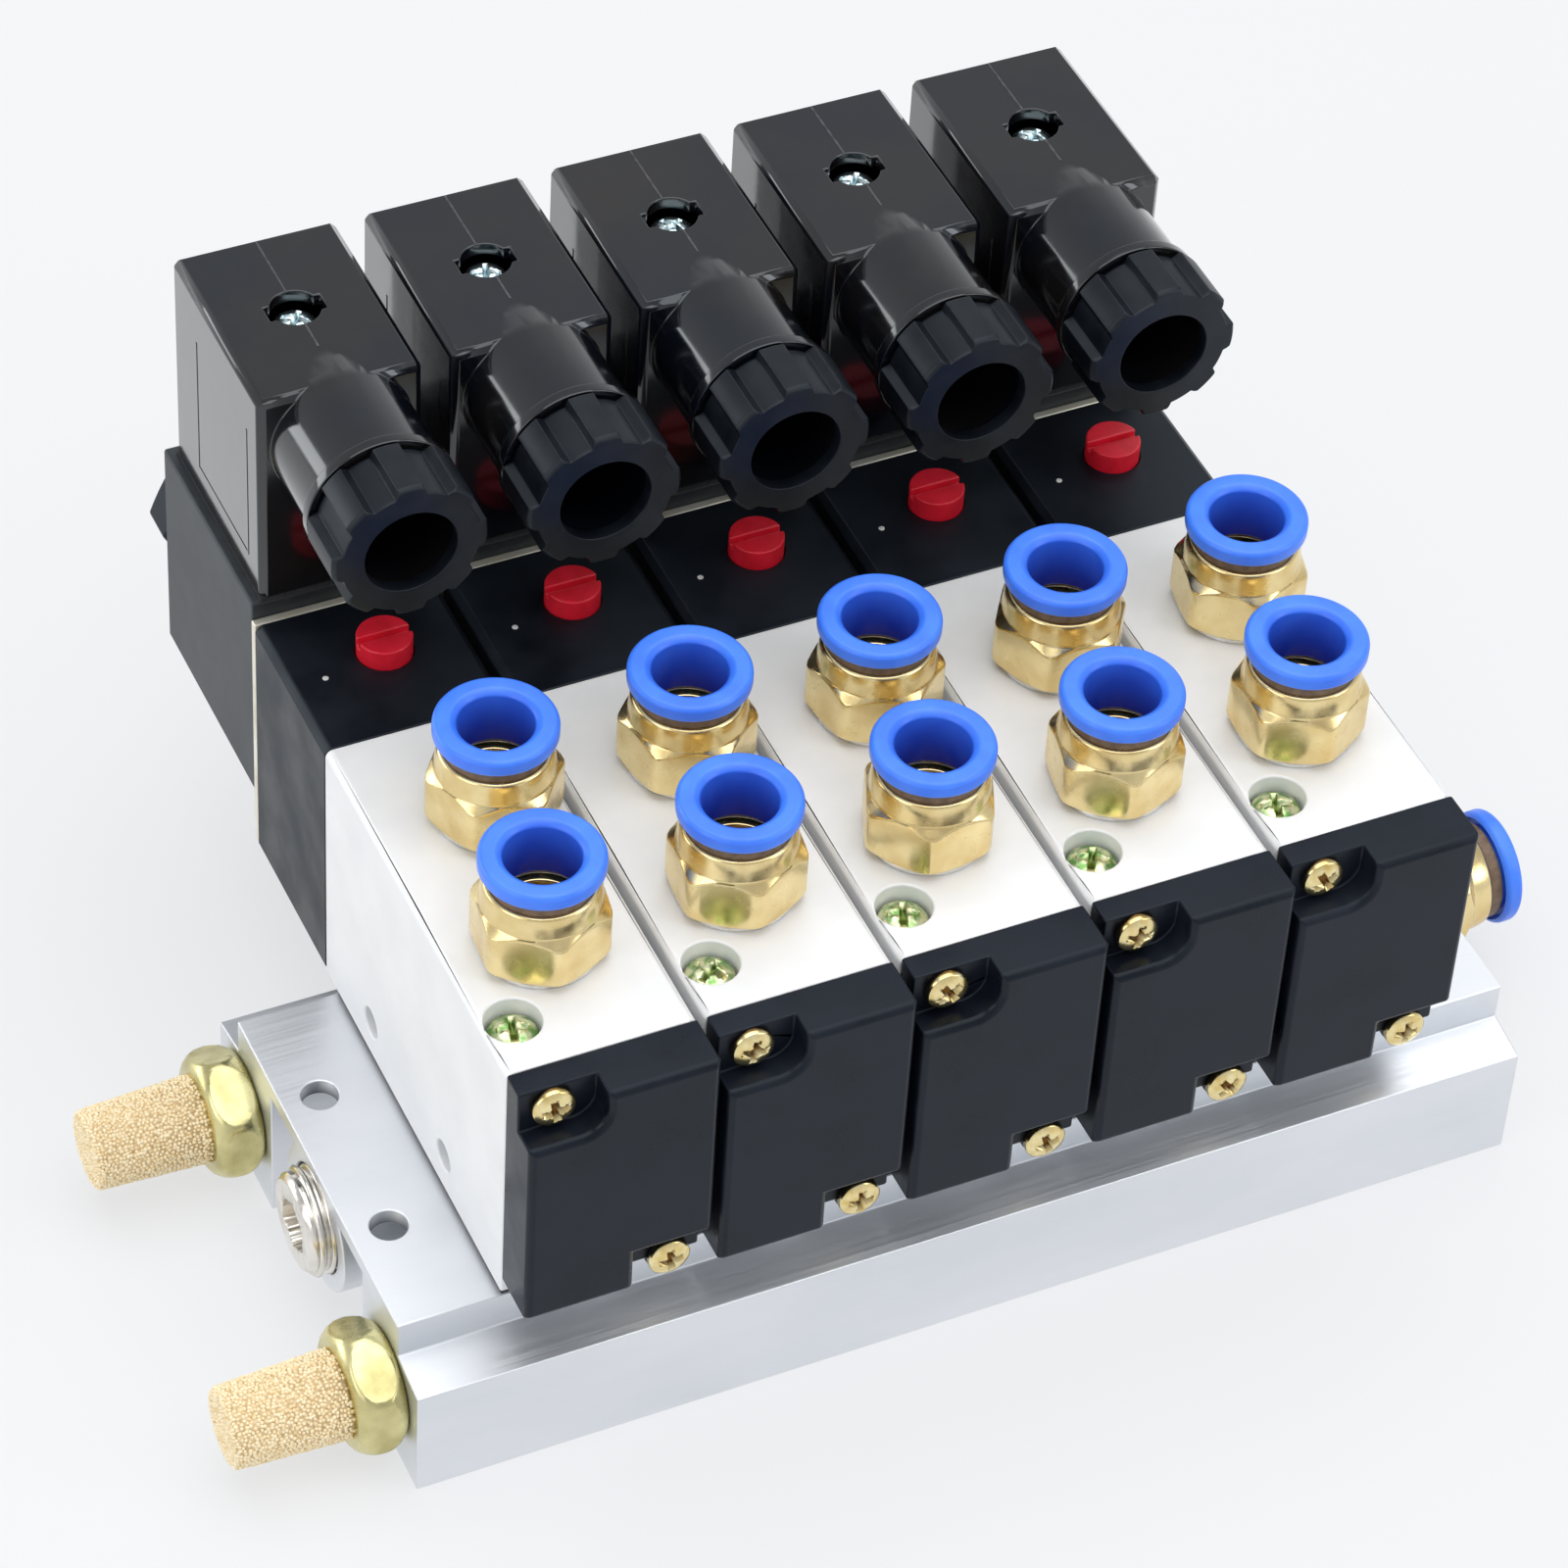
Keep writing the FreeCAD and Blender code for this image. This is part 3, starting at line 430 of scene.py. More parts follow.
def realized(tree, output, given):
    """The end of a tree: what comes out becomes one real mesh with the given material."""
    real = step(tree, "GeometryNodeRealizeInstances", (output, "Geometry"))
    coated = step(
        tree, "GeometryNodeSetMaterial", (real.outputs[0], "Geometry"), (given.outputs["Finish"], "Material")
    )
    step(tree, "NodeGroupOutput", (coated.outputs[0], 0))


given = step(copy_nodes, "NodeGroupInput")
points = step(copy_nodes, "GeometryNodeMeshToPoints", (given.outputs["Places"], "Mesh"))
wanted = step(copy_nodes, "GeometryNodeInputNamedAttribute", data_type="FLOAT_VECTOR")
wanted.inputs["Name"].default_value = "turn"
turn = step(copy_nodes, "FunctionNodeEulerToRotation", (wanted.outputs["Attribute"], "Euler"))
# input 3 is the most that the number can be, and output 1 is the number
chance = step(
    copy_nodes, "FunctionNodeRandomValue", (given.outputs["Seed"], "Seed"), (given.outputs["Spin"], 3),
    data_type="FLOAT",
)
about = step(copy_nodes, "ShaderNodeCombineXYZ", (chance.outputs[1], "Z"))
spun = step(copy_nodes, "FunctionNodeEulerToRotation", (about.outputs[0], "Euler"))
both = step(
    copy_nodes, "FunctionNodeRotateRotation", (turn.outputs[0], "Rotation"), (spun.outputs[0], "Rotate By"),
    rotation_space="LOCAL",
)
master = step(copy_nodes, "GeometryNodeObjectInfo", (given.outputs["Master"], "Object"))
placed = step(
    copy_nodes, "GeometryNodeInstanceOnPoints", (points.outputs[0], "Points"),
    (master.outputs["Geometry"], "Instance"), (both.outputs[0], "Rotation"),
)
realized(copy_nodes, placed.outputs[0], given)


def copies(name, master_mesh, places, made, spin=0.0, seed=1, edge=None):
    """One plain mesh of a master's copies at pairs of a place in mm and a turn in degrees.

    Each copy is also turned about its own Z by chance, by up to spin radians.
    """
    original = shown(name + "_master", master_mesh, made)
    if edge:
        softened(original, edge)
    mesh = bpy.data.meshes.new(name)
    mesh.from_pydata([Vector(place) * mm for place, turn in places], [], [])
    turns = mesh.attributes.new("turn", "FLOAT_VECTOR", "POINT")
    turns.data.foreach_set("vector", [math.radians(a) for place, turn in places for a in turn])
    piece = bpy.data.objects.new(name, mesh)
    scene.collection.objects.link(piece)
    copying = piece.modifiers.new("copies", "NODES")
    copying.node_group = copy_nodes
    for key, value in (("Master", original), ("Spin", spin), ("Seed", seed), ("Finish", made)):
        copying[sockets[key]] = value
    settled(piece)
    bpy.data.objects.remove(original)
    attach(piece, "manifold")
    return piece


def marked(mesh, surface):
    """Gives each vertex the attribute recess, 1 where it lies well below the head's own surface, for painted
    shade in the cross.
    """
    margin = 0.12
    deep = mesh.attributes.new("recess", "FLOAT", "POINT")
    for v, mark in zip(mesh.vertices, deep.data):
        radius = v.co.xy.length / mm
        mark.value = 1.0 if 0 < v.co.z / mm < surface(radius) - margin else 0.0


def cross_screw(head_radius, head_height, shank_radius, length, cross, depth):
    """A pan-head screw along Z with its head on Z = 0 and a cross recess of that arm width and depth."""
    end_chamfer, head_edge, fall, power = 0.4, 0.15, 0.42, 2.6

    def surface(radius):
        return head_height * (1 - fall * (radius / head_radius) ** power)

    rim = [(surface(head_radius * s), head_radius * s) for s in (1.0, 0.93, 0.85, 0.75, 0.6, 0.4, 0.2)]
    outline = [(-length, 0), (-length, shank_radius - end_chamfer), (end_chamfer - length, shank_radius)]
    outline += [(0, shank_radius), (0, head_radius - head_edge), (head_edge, head_radius)]
    outline += rim + [(head_height, 0)]
    mesh = turned(outline, around=48)
    arm = 0.62 * head_radius
    taper = 0.16 * cross
    low, across_top, along_top = head_height - depth, head_height + 0.3, head_height + 0.31
    across = block((-arm, -cross / 2, low), (arm, cross / 2, across_top), taper)
    along = block((-cross / 2, -arm, low), (cross / 2, arm, along_top), taper)
    piece = cut_by(shown("screw", mesh, None), across, along)
    mesh = piece.data
    bpy.data.objects.remove(piece)
    marked(mesh, surface)
    return mesh


green_zinc = finish("green_yellow_zinc", (0.6, 0.64, 0.3), 1.0, 0.28)
bloom = pattern(green_zinc, 1.2, Detail=3.0)
tinted(green_zinc, bloom, (0.18, 0.36, 0.11), (0.84, 0.84, 0.54), 0.38, 0.62)
relief(green_zinc, pattern(green_zinc, 0.5), 0.03, 0.6)
# Painted shade: the bottoms of the crosses turn dark green.
painted_recess_shade(green_zinc, (0.10, 0.14, 0.03))
mounting_screw = cross_screw(
    head_radius=2.8, head_height=2.4, shank_radius=1.95, length=37.75, cross=0.95, depth=1.5
)
seat_z = 32.65
seats = [((x + dx, y, seat_z), face_up) for x in station_x for dx, y in ((-7.3, -17.9), (7.3, 21.2))]
screws = copies("valve_mounting_screws", mounting_screw, seats, green_zinc, spin=full_turn, seed=4)
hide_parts("mounting_screws")

# End caps. Moulded in black nylon with a fine gloss, with a pocket for one screw and a stepped corner for
# the other; the front edges are bevelled in the mould.
cap_nylon = finish(
    "cap_nylon", (0.008, 0.010, 0.015), 0.0, 0.3, Specular_IOR_Level=0.22, Specular_Tint=(0.8, 0.92, 1, 1)
)
smudge = pattern(cap_nylon, 11, Detail=5.0, Roughness=0.6)
tinted(cap_nylon, smudge, (0.004, 0.0055, 0.010), (0.009, 0.012, 0.020))
worn(cap_nylon, smudge, 0.25, 0.40)
relief(cap_nylon, pattern(cap_nylon, 0.35), 0.006, 0.4)
caps = edged("end_caps", "spring_end_caps", 0.28, cap_nylon)
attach(caps, "manifold")
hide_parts("end_caps")

# End cap screws. Short steel screws with a yellow zinc coat hold each cap at two opposite corners; the
# bottoms of their crosses are darkened with painted shade.
yellow_zinc = finish("yellow_zinc", (0.8, 0.66, 0.3), 1.0, 0.25)
sheen = pattern(yellow_zinc, 1.4, Detail=2.0)
tinted(yellow_zinc, sheen, (0.74, 0.55, 0.20), (0.90, 0.80, 0.46), 0.3, 0.7)
relief(yellow_zinc, pattern(yellow_zinc, 0.6), 0.02, 0.4)
# Painted shade: the bottoms of the crosses turn dark brown.
painted_recess_shade(yellow_zinc, (0.16, 0.075, 0.018))
cap_screw = cross_screw(
    head_radius=2.45, head_height=1.6, shank_radius=1.25, length=6.0, cross=1.05, depth=1.2
)
seat_y = -28.3
face_front = (90, 0, 0)
corners = [((x + dx, seat_y, z), face_front) for x in station_x for dx, z in ((-7.2, 33.55), (7.2, 3.55))]
screws = copies("cap_corner_screws", cap_screw, corners, yellow_zinc, spin=full_turn, seed=9)
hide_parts("end_cap_screws")

# Pilot heads. Black moulded blocks between each valve and its coil, with bevelled long edges and a small
# white breather beside the button.
pilot_nylon = finish(
    "pilot_nylon", (0.007, 0.008, 0.011), 0.0, 0.4, Specular_IOR_Level=0.36, Specular_Tint=(0.72, 0.88, 1, 1)
)
haze = pattern(pilot_nylon, 8, Detail=5.0)
tinted(pilot_nylon, haze, (0.003, 0.004, 0.007), (0.007, 0.009, 0.014))
worn(pilot_nylon, haze, 0.36, 0.5)
relief(pilot_nylon, pattern(pilot_nylon, 0.25), 0.008, 0.5)
heads = edged("pilot_heads", "pilot_head_blocks", 0.18, pilot_nylon)
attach(heads, "manifold")
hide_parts("pilot_heads")
breather = finish("breather_white", (0.75, 0.75, 0.74), 0.0, 0.6)
tinted(breather, pattern(breather, 0.2), (0.6, 0.6, 0.59), (0.8, 0.8, 0.79))
breather_x, breather_y, body_top = -6.65, 38.4, 36.05
spots = [((x + breather_x, breather_y, body_top), face_up) for x in station_x]
dot = [(-0.4, 0), (-0.4, 0.36), (0.04, 0.36), (0.07, 0.28), (0.07, 0)]
dots = copies("pilot_breathers", turned(dot, around=20), spots, breather)

# Override buttons. Turned from red plastic, with a slot for a screwdriver across the top. Each stands on its
# own pin, presses down with it and turns on it.
button_red = finish("button_red", (0.62, 0.010, 0.022), 0.0, 0.38)
tinted(button_red, pattern(button_red, 2.5, Detail=3.0), (0.72, 0.010, 0.026), (0.86, 0.016, 0.042))
relief(button_red, pattern(button_red, 0.3), 0.01, 0.4)
for i in stations:
    button = edged("override_button_%d" % i, "red_button_%d" % i, 0.22, button_red)
    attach(button, "override_button_%d" % i)
    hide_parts("override_button_%d" % i)

# Coil plates. Thin pressed steel plates behind the pilot heads, with an ivory zinc coat that catches the
# light along their edges.
ivory_zinc = finish("ivory_zinc", (0.80, 0.77, 0.66), 0.6, 0.36)
tinted(ivory_zinc, pattern(ivory_zinc, 5, Detail=4.0), (0.72, 0.68, 0.55), (0.86, 0.84, 0.74))
relief(ivory_zinc, pattern(ivory_zinc, 0.4), 0.01, 0.4)
plates = edged("coil_plates", "coil_end_plates", 0.2, ivory_zinc)
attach(plates, "manifold")
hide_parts("coil_plates")

# Coils. Windings moulded into a block of filled black resin with a matt, slightly chalky skin. Each slips
# over its core tube and is held there by the nut behind it.
coil_resin = finish(
    "coil_resin", (0.016, 0.018, 0.021), 0.0, 0.48, Specular_IOR_Level=0.6, Specular_Tint=(0.85, 0.94, 1, 1)
)
chalk = pattern(coil_resin, 6, Detail=6.0, Roughness=0.65)
tinted(coil_resin, chalk, (0.012, 0.014, 0.017), (0.026, 0.029, 0.033))
relief(coil_resin, pattern(coil_resin, 0.3), 0.015, 0.5)
coils = edged("coils", "solenoid_coils", 0.45, coil_resin)
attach(coils, "manifold")
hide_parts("coils")


# Coil nuts. Moulded in black nylon, hexagonal with turned corners. Each screws onto the end of a core tube
# and holds the coil and its steel plate against the pilot head.
def hexagon(flats):
    """The reach of a hexagon over flats at an angle, with a corner at angle 0."""
    return lambda angle: flats / 2 / math.cos(angle % (math.pi / 3) - math.pi / 6)


nut_outline = [(0, 3.06), (0, 8.9), (1.1, 11.2), (5.6, 11.2), (7.2, 8.2), (7.2, 3.06)]
coil_back, coil_axis = 79.2, 23.55
face_back = (-90, 0, 0)
tails = [((x, coil_back, coil_axis), face_back) for x in station_x]
nuts = copies("coil_retaining_nuts", turned(nut_outline, hexagon(19.0)), tails, pilot_nylon, edge=0.3)
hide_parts("coil_nuts")

# Connector housings. Glossy smoke-black mouldings that shut over the coils' blades. They have a parting
# line over the top and a raised frame line on each side, and their cable bosses run into the top.
smoke_plastic = finish(
    "smoke_plastic", (0.004, 0.0045, 0.007), 0.0, 0.13, Specular_IOR_Level=0.35, Coat_Weight=0.9,
    Coat_Roughness=0.1, Specular_Tint=(0.8, 0.92, 1, 1),
)
smoke = pattern(smoke_plastic, 16, Detail=2.0)
tinted(smoke_plastic, smoke, (0.003, 0.004, 0.007), (0.010, 0.008, 0.007), 0.4, 0.7)
worn(smoke_plastic, pattern(smoke_plastic, 3, Detail=4.0), 0.10, 0.18)
relief(smoke_plastic, pattern(smoke_plastic, 2.2), 0.02, 0.25)
housings = edged("connector_housings", "connector_covers", 0.18, smoke_plastic)
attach(housings, "manifold")
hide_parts("connector_housings")
lines = bmesh.new()
line_foot, line_face, frame_bottom = 9.7, 9.87, 42.6
for left_x, right_x in ((-line_face, -line_foot), (line_foot, line_face)):
    for front_y, back_y, top_z in ((54.0, 54.3, 61.3), (54.3, 69.8, 42.9), (69.8, 70.1, 61.3)):
        lines.from_mesh(block((left_x, front_y, frame_bottom), (right_x, back_y, top_z)))
line_mesh = bpy.data.meshes.new("lines")
lines.to_mesh(line_mesh)
lines.free()
at_stations = [((x, 0, 0), face_up) for x in station_x]
raised = copies("connector_lines", line_mesh, at_stations, smoke_plastic, edge=0.04)
# Painted highlight: the parting line's bead is a lighter grey than the housing, where it catches the light.
bead_highlight = finish("parting_bead_highlight", (0.05, 0.05, 0.055), 0.0, 0.3)
tinted(bead_highlight, pattern(bead_highlight, 1.0, Detail=3.0), (0.03, 0.03, 0.035), (0.08, 0.08, 0.09))
bead_side, bead_foot, bead_top = 0.12, 67.7, 67.93
for label, near, far in (("back", 67.4, 76.7), ("front", 57.2, 61.4)):
    bead = block((-bead_side, near, bead_foot), (bead_side, far, bead_top))
    seam = copies("parting_line_" + label, bead, at_stations, bead_highlight, edge=0.04)

# Connector screws. Long steel screws with a blue-white zinc coat and a pressed cross in the head. One goes
# down through each connector and its gasket and holds them on the coil.
blue_zinc = finish("blue_white_zinc", (0.66, 0.82, 0.86), 1.0, 0.24)
tinted(blue_zinc, pattern(blue_zinc, 1.2, Detail=3.0), (0.50, 0.72, 0.78), (0.84, 0.92, 0.93), 0.3, 0.7)
# Painted shade: the bottoms of the crosses turn dark blue-grey.
painted_recess_shade(blue_zinc, (0.14, 0.22, 0.25))
long_screw = cross_screw(
    head_radius=2.5, head_height=2.3, shank_radius=1.3, length=28.0, cross=0.8, depth=1.3
)
screw_y, screw_seat = 64.4, 64.05
tops = [((x, screw_y, screw_seat), face_up) for x in station_x]
screws = copies("connector_long_screws", long_screw, tops, blue_zinc, spin=full_turn, seed=3)
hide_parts("connector_screws")


# Gland nuts. Moulded in black nylon, with eight broad grips and a rounded front rim. Each screws onto the
# cable boss of its connector and is open in front.
def lobes(outer, depth, count):
    """The reach of a grip with count flat-topped lobes and flat grooves depth mm deep between them."""
    groove_share, steepness = 0.6, 4

    def reach(angle):
        wave = math.cos(count * (angle + math.pi / count))
        return outer - depth * min(1.0, max(0.0, groove_share + steepness * wave))

    return reach


gland_nylon = finish(
    "gland_nylon", (0.007, 0.009, 0.013), 0.0, 0.36, Specular_IOR_Level=0.32, Specular_Tint=(0.8, 0.92, 1, 1)
)
tinted(gland_nylon, pattern(gland_nylon, 3, Detail=5.0), (0.003, 0.004, 0.007), (0.007, 0.009, 0.013))
relief(gland_nylon, pattern(gland_nylon, 0.25), 0.012, 0.5)
grip = [(0, 7.4), (0, 8.9), (0.3, 9.2), (7.4, 9.2), (7.9, 8.8), (7.9, 5.45), (6.2, 5.45), (6.2, 7.4)]
gland_mesh = turned(grip, lobes(outer=9.2, depth=1.1, count=8), around=192)
gland_seat, gland_axis = 37.4, 60.55
entries = [((x, gland_seat, gland_axis), face_front) for x in station_x]
glands = copies("cable_gland_nuts", gland_mesh, entries, gland_nylon, edge=0.1)
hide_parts("gland_nuts")

# Push-in fittings. Turned from hexagonal brass bar: a hexagon with turned corners, a round neck with a soft
# lip and a threaded stub. Each stands on a thin bright washer and has a brown retaining ring in its neck.
brass = finish("satin_brass", (0.86, 0.71, 0.38), 1.0, 0.25)
stain = pattern(brass, 4, Detail=2.0, Roughness=0.45)
tinted(brass, stain, (0.74, 0.55, 0.24), (0.87, 0.71, 0.37), 0.3, 0.6)
worn(brass, pattern(brass, 1.6, Detail=2.0), 0.2, 0.28)
relief(brass, pattern(brass, 0.3, (1, 1, 8)), 0.0015, 0.2)


def fitting_outline(thread_radius):
    """The brass body's outline, from its foot round the neck and the tube's way to the stub's end."""
    return [
        (0.7, thread_radius), (0.7, 6.7), (1.35, 7.85), (6.5, 7.85), (7.5, 6.75), (8.9, 6.65), (9.9, 6.45),
        (10.3, 6.2), (10.3, 5.26), (5.75, 5.26), (5.75, 4.1), (0, 4.1), (0, 2.9), (-7.5, 2.9),
        (-7.5, thread_radius - 0.5), (-7.0, thread_radius),
    ]


ports = [(x + dx, y) for x in station_x for dx, y in ((-0.35, -8.7), (2.8, 11.8))]
upright = [((x, y, body_top), face_up) for x, y in ports]
fitting = turned(fitting_outline(thread_radius=4.86), hexagon(14.0))
fittings = copies("brass_fittings", fitting, upright, brass, spin=full_turn, seed=2, edge=0.22)
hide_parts("fitting_bodies")
base_end, supply_axis = 69.0, -7.95
face_right = (0, 90, 0)
sideways = [((base_end, 0, supply_axis), face_right)]
inlet_fitting = turned(fitting_outline(thread_radius=6.52), hexagon(14.0))
inlet = copies("brass_inlet_fitting", inlet_fitting, sideways, brass, edge=0.22)
washer_nickel = finish("washer_nickel", (0.78, 0.76, 0.72), 1.0, 0.3)
tinted(washer_nickel, pattern(washer_nickel, 1.5, Detail=3.0), (0.66, 0.64, 0.6), (0.84, 0.83, 0.8))
washer = [(0, 5.2), (0, 6.75), (0.68, 6.75), (0.68, 5.2)]
washers = copies("fitting_washers", turned(washer), upright, washer_nickel, edge=0.15)
ring_brown = finish("ring_brown", (0.16, 0.10, 0.06), 0.0, 0.5)
tinted(ring_brown, pattern(ring_brown, 1.0, Detail=3.0), (0.12, 0.075, 0.045), (0.2, 0.13, 0.08))
ring = [(10.3, 5.35), (10.3, 5.95), (11.85, 5.95), (11.85, 5.35)]
rings = copies("neck_rings", turned(ring), upright + sideways, ring_brown, edge=0.15)

# Release collars. Moulded in blue acetal with a wide flange that is hollow underneath; pushed in, each lets
# go of its tube.
acetal = finish("blue_acetal", (0.06, 0.21, 0.88), 0.0, 0.34, Subsurface_Weight=0.08)
acetal_shader = acetal.node_tree.nodes["Principled BSDF"]
acetal_shader.inputs["Subsurface Radius"].default_value = (0.0004, 0.0006, 0.0012)
tinted(acetal, pattern(acetal, 4, Detail=3.0), (0.046, 0.19, 0.92), (0.060, 0.235, 1.0))
relief(acetal, pattern(acetal, 0.5), 0.01, 0.3)
# Painted shade, together with the deeper blue that light takes on through more acetal: the bore inside each
# collar turns deep blue.
painted_recess_shade(acetal, (0.004, 0.024, 0.42))
collar_outline = [
    (-5.1, 4.3), (-5.1, 5.2), (1.05, 5.2), (1.05, 6.15), (0, 6.25), (0, 6.6), (0.4, 7.0), (1.75, 7.0),
    (2.2, 6.6), (2.2, 5.0), (1.6, 4.3),
]
collar_mesh = turned(collar_outline, around=96)
# The bore is marked for painted shade: fully below Z = 0 and a quarter at its top end.
well_radius, lip_shade = 4.6 * mm, 0.25
well = collar_mesh.attributes.new("recess", "FLOAT", "POINT")
for v, mark in zip(collar_mesh.vertices, well.data):
    if v.co.xy.length < well_radius:
        mark.value = 1.0 if v.co.z < 0 else lip_shade
rim_height = 2.2 * mm
for node in [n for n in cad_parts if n.startswith("release_collar")]:
    low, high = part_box(node)
    at, tilt = Vector(((low.x + high.x) / 2, (low.y + high.y) / 2, high.z - rim_height)), 0
    if node.endswith("inlet"):
        at, tilt = Vector((high.x - rim_height, 0, supply_axis * mm)), 90
    collar = softened(shown(node.replace("release", "tube"), collar_mesh.copy(), acetal), 0.2)
    collar.data.transform(Matrix.Translation(at) @ Matrix.Rotation(math.radians(tilt), 4, "Y"))
    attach(collar, node)
    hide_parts(node)

# Silencers. A turned, green-gold zinc-plated hexagon carries a cone of sintered bronze grains, which lets
# the exhaust air out through its pores.
plated = finish("green_gold_plating", (0.84, 0.78, 0.42), 1.0, 0.2)
tinted(plated, pattern(plated, 5, Detail=2.0), (0.50, 0.45, 0.20), (0.74, 0.68, 0.35), 0.34, 0.60)
worn(plated, pattern(plated, 1.2), 0.24, 0.34)
plated_outline = [
    (-8.0, 3.0), (-8.0, 4.4), (-7.6, 4.8), (0, 4.8), (0, 6.3), (0.4, 6.8), (1.1, 7.4), (2.0, 7.8),
    (3.0, 7.92), (4.0, 7.8), (4.9, 7.4), (5.6, 6.8), (6.0, 6.2), (6.0, 3.0),
]
exhaust_y, exhaust_axis = (-22, 22), -11.35
face_left = (0, -90, 0)
outlets = [((-base_end, y, exhaust_axis), face_left) for y in exhaust_y]
silencer_hex = turned(plated_outline, hexagon(14.0), around=144)
hexes = copies("silencer_hexagons", silencer_hex, outlets, plated, edge=0.2)
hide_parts("silencer_hexes")

# Silencer elements. Bronze grains sintered into hollow cones, open between the grains; light tan on the
# grains, with a darker cone beneath them as painted shade in the pores.
bronze = finish("sintered_bronze", (0.92, 0.76, 0.46), 0.08, 0.5)
tinted(bronze, pattern(bronze, 0.6, Detail=2.0), (0.87, 0.68, 0.38), (0.97, 0.85, 0.60), 0.32, 0.6)
worn(bronze, pattern(bronze, 0.5), 0.4, 0.6)
# Painted shade: the cone under the grains is a darker bronze, for the shade deep in the pores.
pores = finish("bronze_pore_shade", (0.8, 0.6, 0.34), 0.05, 0.7)
tinted(pores, pattern(pores, 0.4, Detail=2.0), (0.54, 0.38, 0.19), (0.84, 0.66, 0.40))
grain_nodes, grain_sockets = node_tree(
    "grains_on_a_surface", Surface="Geometry", Grain="Object", Spacing="Float", Seed="Int", Finish="Material"
)
given = step(grain_nodes, "NodeGroupInput")
strewn = step(
    grain_nodes, "GeometryNodeDistributePointsOnFaces", (given.outputs["Surface"], "Mesh"),
    (given.outputs["Spacing"], "Distance Min"), (given.outputs["Seed"], "Seed"), distribute_method="POISSON",
)
strewn.inputs["Density Max"].default_value = 3e7
# input 1 is the most of a drawn vector, and inputs 2 and 3 are the least and the most of a drawn number
tumble = step(
    grain_nodes, "FunctionNodeRandomValue", (given.outputs["Seed"], "Seed"), data_type="FLOAT_VECTOR"
)
tumble.inputs[1].default_value = (full_turn, full_turn, full_turn)
girth = step(grain_nodes, "FunctionNodeRandomValue", (given.outputs["Seed"], "Seed"), data_type="FLOAT")
girth.inputs[2].default_value = 0.8
girth.inputs[3].default_value = 1.2
grain = step(grain_nodes, "GeometryNodeObjectInfo", (given.outputs["Grain"], "Object"))
tumbled = step(grain_nodes, "FunctionNodeEulerToRotation", (tumble.outputs[0], "Euler"))
packed = step(
    grain_nodes, "GeometryNodeInstanceOnPoints", (strewn.outputs["Points"], "Points"),
    (grain.outputs["Geometry"], "Instance"), (tumbled.outputs[0], "Rotation"), (girth.outputs[1], "Scale"),
)
realized(grain_nodes, packed.outputs[0], given)
pebble = bmesh.new()
bmesh.ops.create_icosphere(pebble, subdivisions=1, radius=0.25 * mm)
pebble_mesh = bpy.data.meshes.new("pebble")
pebble.to_mesh(pebble_mesh)
pebble.free()
pebble = shown("pebble", pebble_mesh, bronze)
cone = [(6.05, 3.0), (6.05, 5.12), (19.05, 4.6), (19.35, 4.3), (19.35, 0), (16.0, 0), (16.0, 3.0)]
cores = copies("silencer_cores", turned(cone), outlets, pores)
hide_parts("silencer_elements")
grains = copies("silencer_grains", turned(cone), outlets, bronze)
sintering = grains.modifiers.new("grains", "NODES")
sintering.node_group = grain_nodes
for key, value in (("Grain", pebble), ("Spacing", 0.345 * mm), ("Seed", 7), ("Finish", bronze)):
    sintering[grain_sockets[key]] = value
settled(grains)
bpy.data.objects.remove(pebble)

# Port plugs. Nickel-plated steel plugs with a hexagon socket, turned and then cut with a pipe thread: one in
# the supply way's left end and two in the right ends of the exhaust ways.
nickel = finish("bright_nickel", (0.78, 0.74, 0.68), 1.0, 0.16)
tinted(nickel, pattern(nickel, 3, Detail=3.0), (0.68, 0.64, 0.57), (0.84, 0.81, 0.76), 0.3, 0.6)
worn(nickel, pattern(nickel, 0.9, Detail=3.0), 0.12, 0.26)
coil_nodes, coil_sockets = node_tree(
    "wound_bar", Radius="Float", Rise="Float", Turns="Float", Bar="Float", Corners="Int", Around="Int",
    Finish="Material",
)
given = step(coil_nodes, "NodeGroupInput")
path = step(
    coil_nodes, "GeometryNodeCurveSpiral", (given.outputs["Around"], "Resolution"),
    (given.outputs["Turns"], "Rotations"), (given.outputs["Radius"], "Start Radius"),
    (given.outputs["Radius"], "End Radius"), (given.outputs["Rise"], "Height"),
)
level_path = step(coil_nodes, "GeometryNodeSetCurveNormal", (path.outputs[0], "Curve"), mode="Z_UP")
section = step(
    coil_nodes, "GeometryNodeCurvePrimitiveCircle", (given.outputs["Corners"], "Resolution"),
    (given.outputs["Bar"], "Radius"),
)
wound = step(
    coil_nodes, "GeometryNodeCurveToMesh", (level_path.outputs[0], "Curve"),
    (section.outputs[0], "Profile Curve"),
)
wound.inputs["Fill Caps"].default_value = True
realized(coil_nodes, wound.outputs[0], given)


def winding(radius, rise, turns, bar, corners, around, made):
    """The mesh of a bar wound round Z from Z = 0 to rise mm, with corners in its section."""
    piece = bpy.data.objects.new("winding", bpy.data.meshes.new("winding"))
    scene.collection.objects.link(piece)
    winding_up = piece.modifiers.new("coil", "NODES")
    winding_up.node_group = coil_nodes
    measures = {
        "Radius": radius * mm, "Rise": rise * mm, "Turns": turns, "Bar": bar * mm, "Corners": corners,
        "Around": around, "Finish": made,
    }
    for key, value in measures.items():
        winding_up[coil_sockets[key]] = value
    settled(piece)
    mesh = piece.data
    bpy.data.objects.remove(piece)
    return mesh


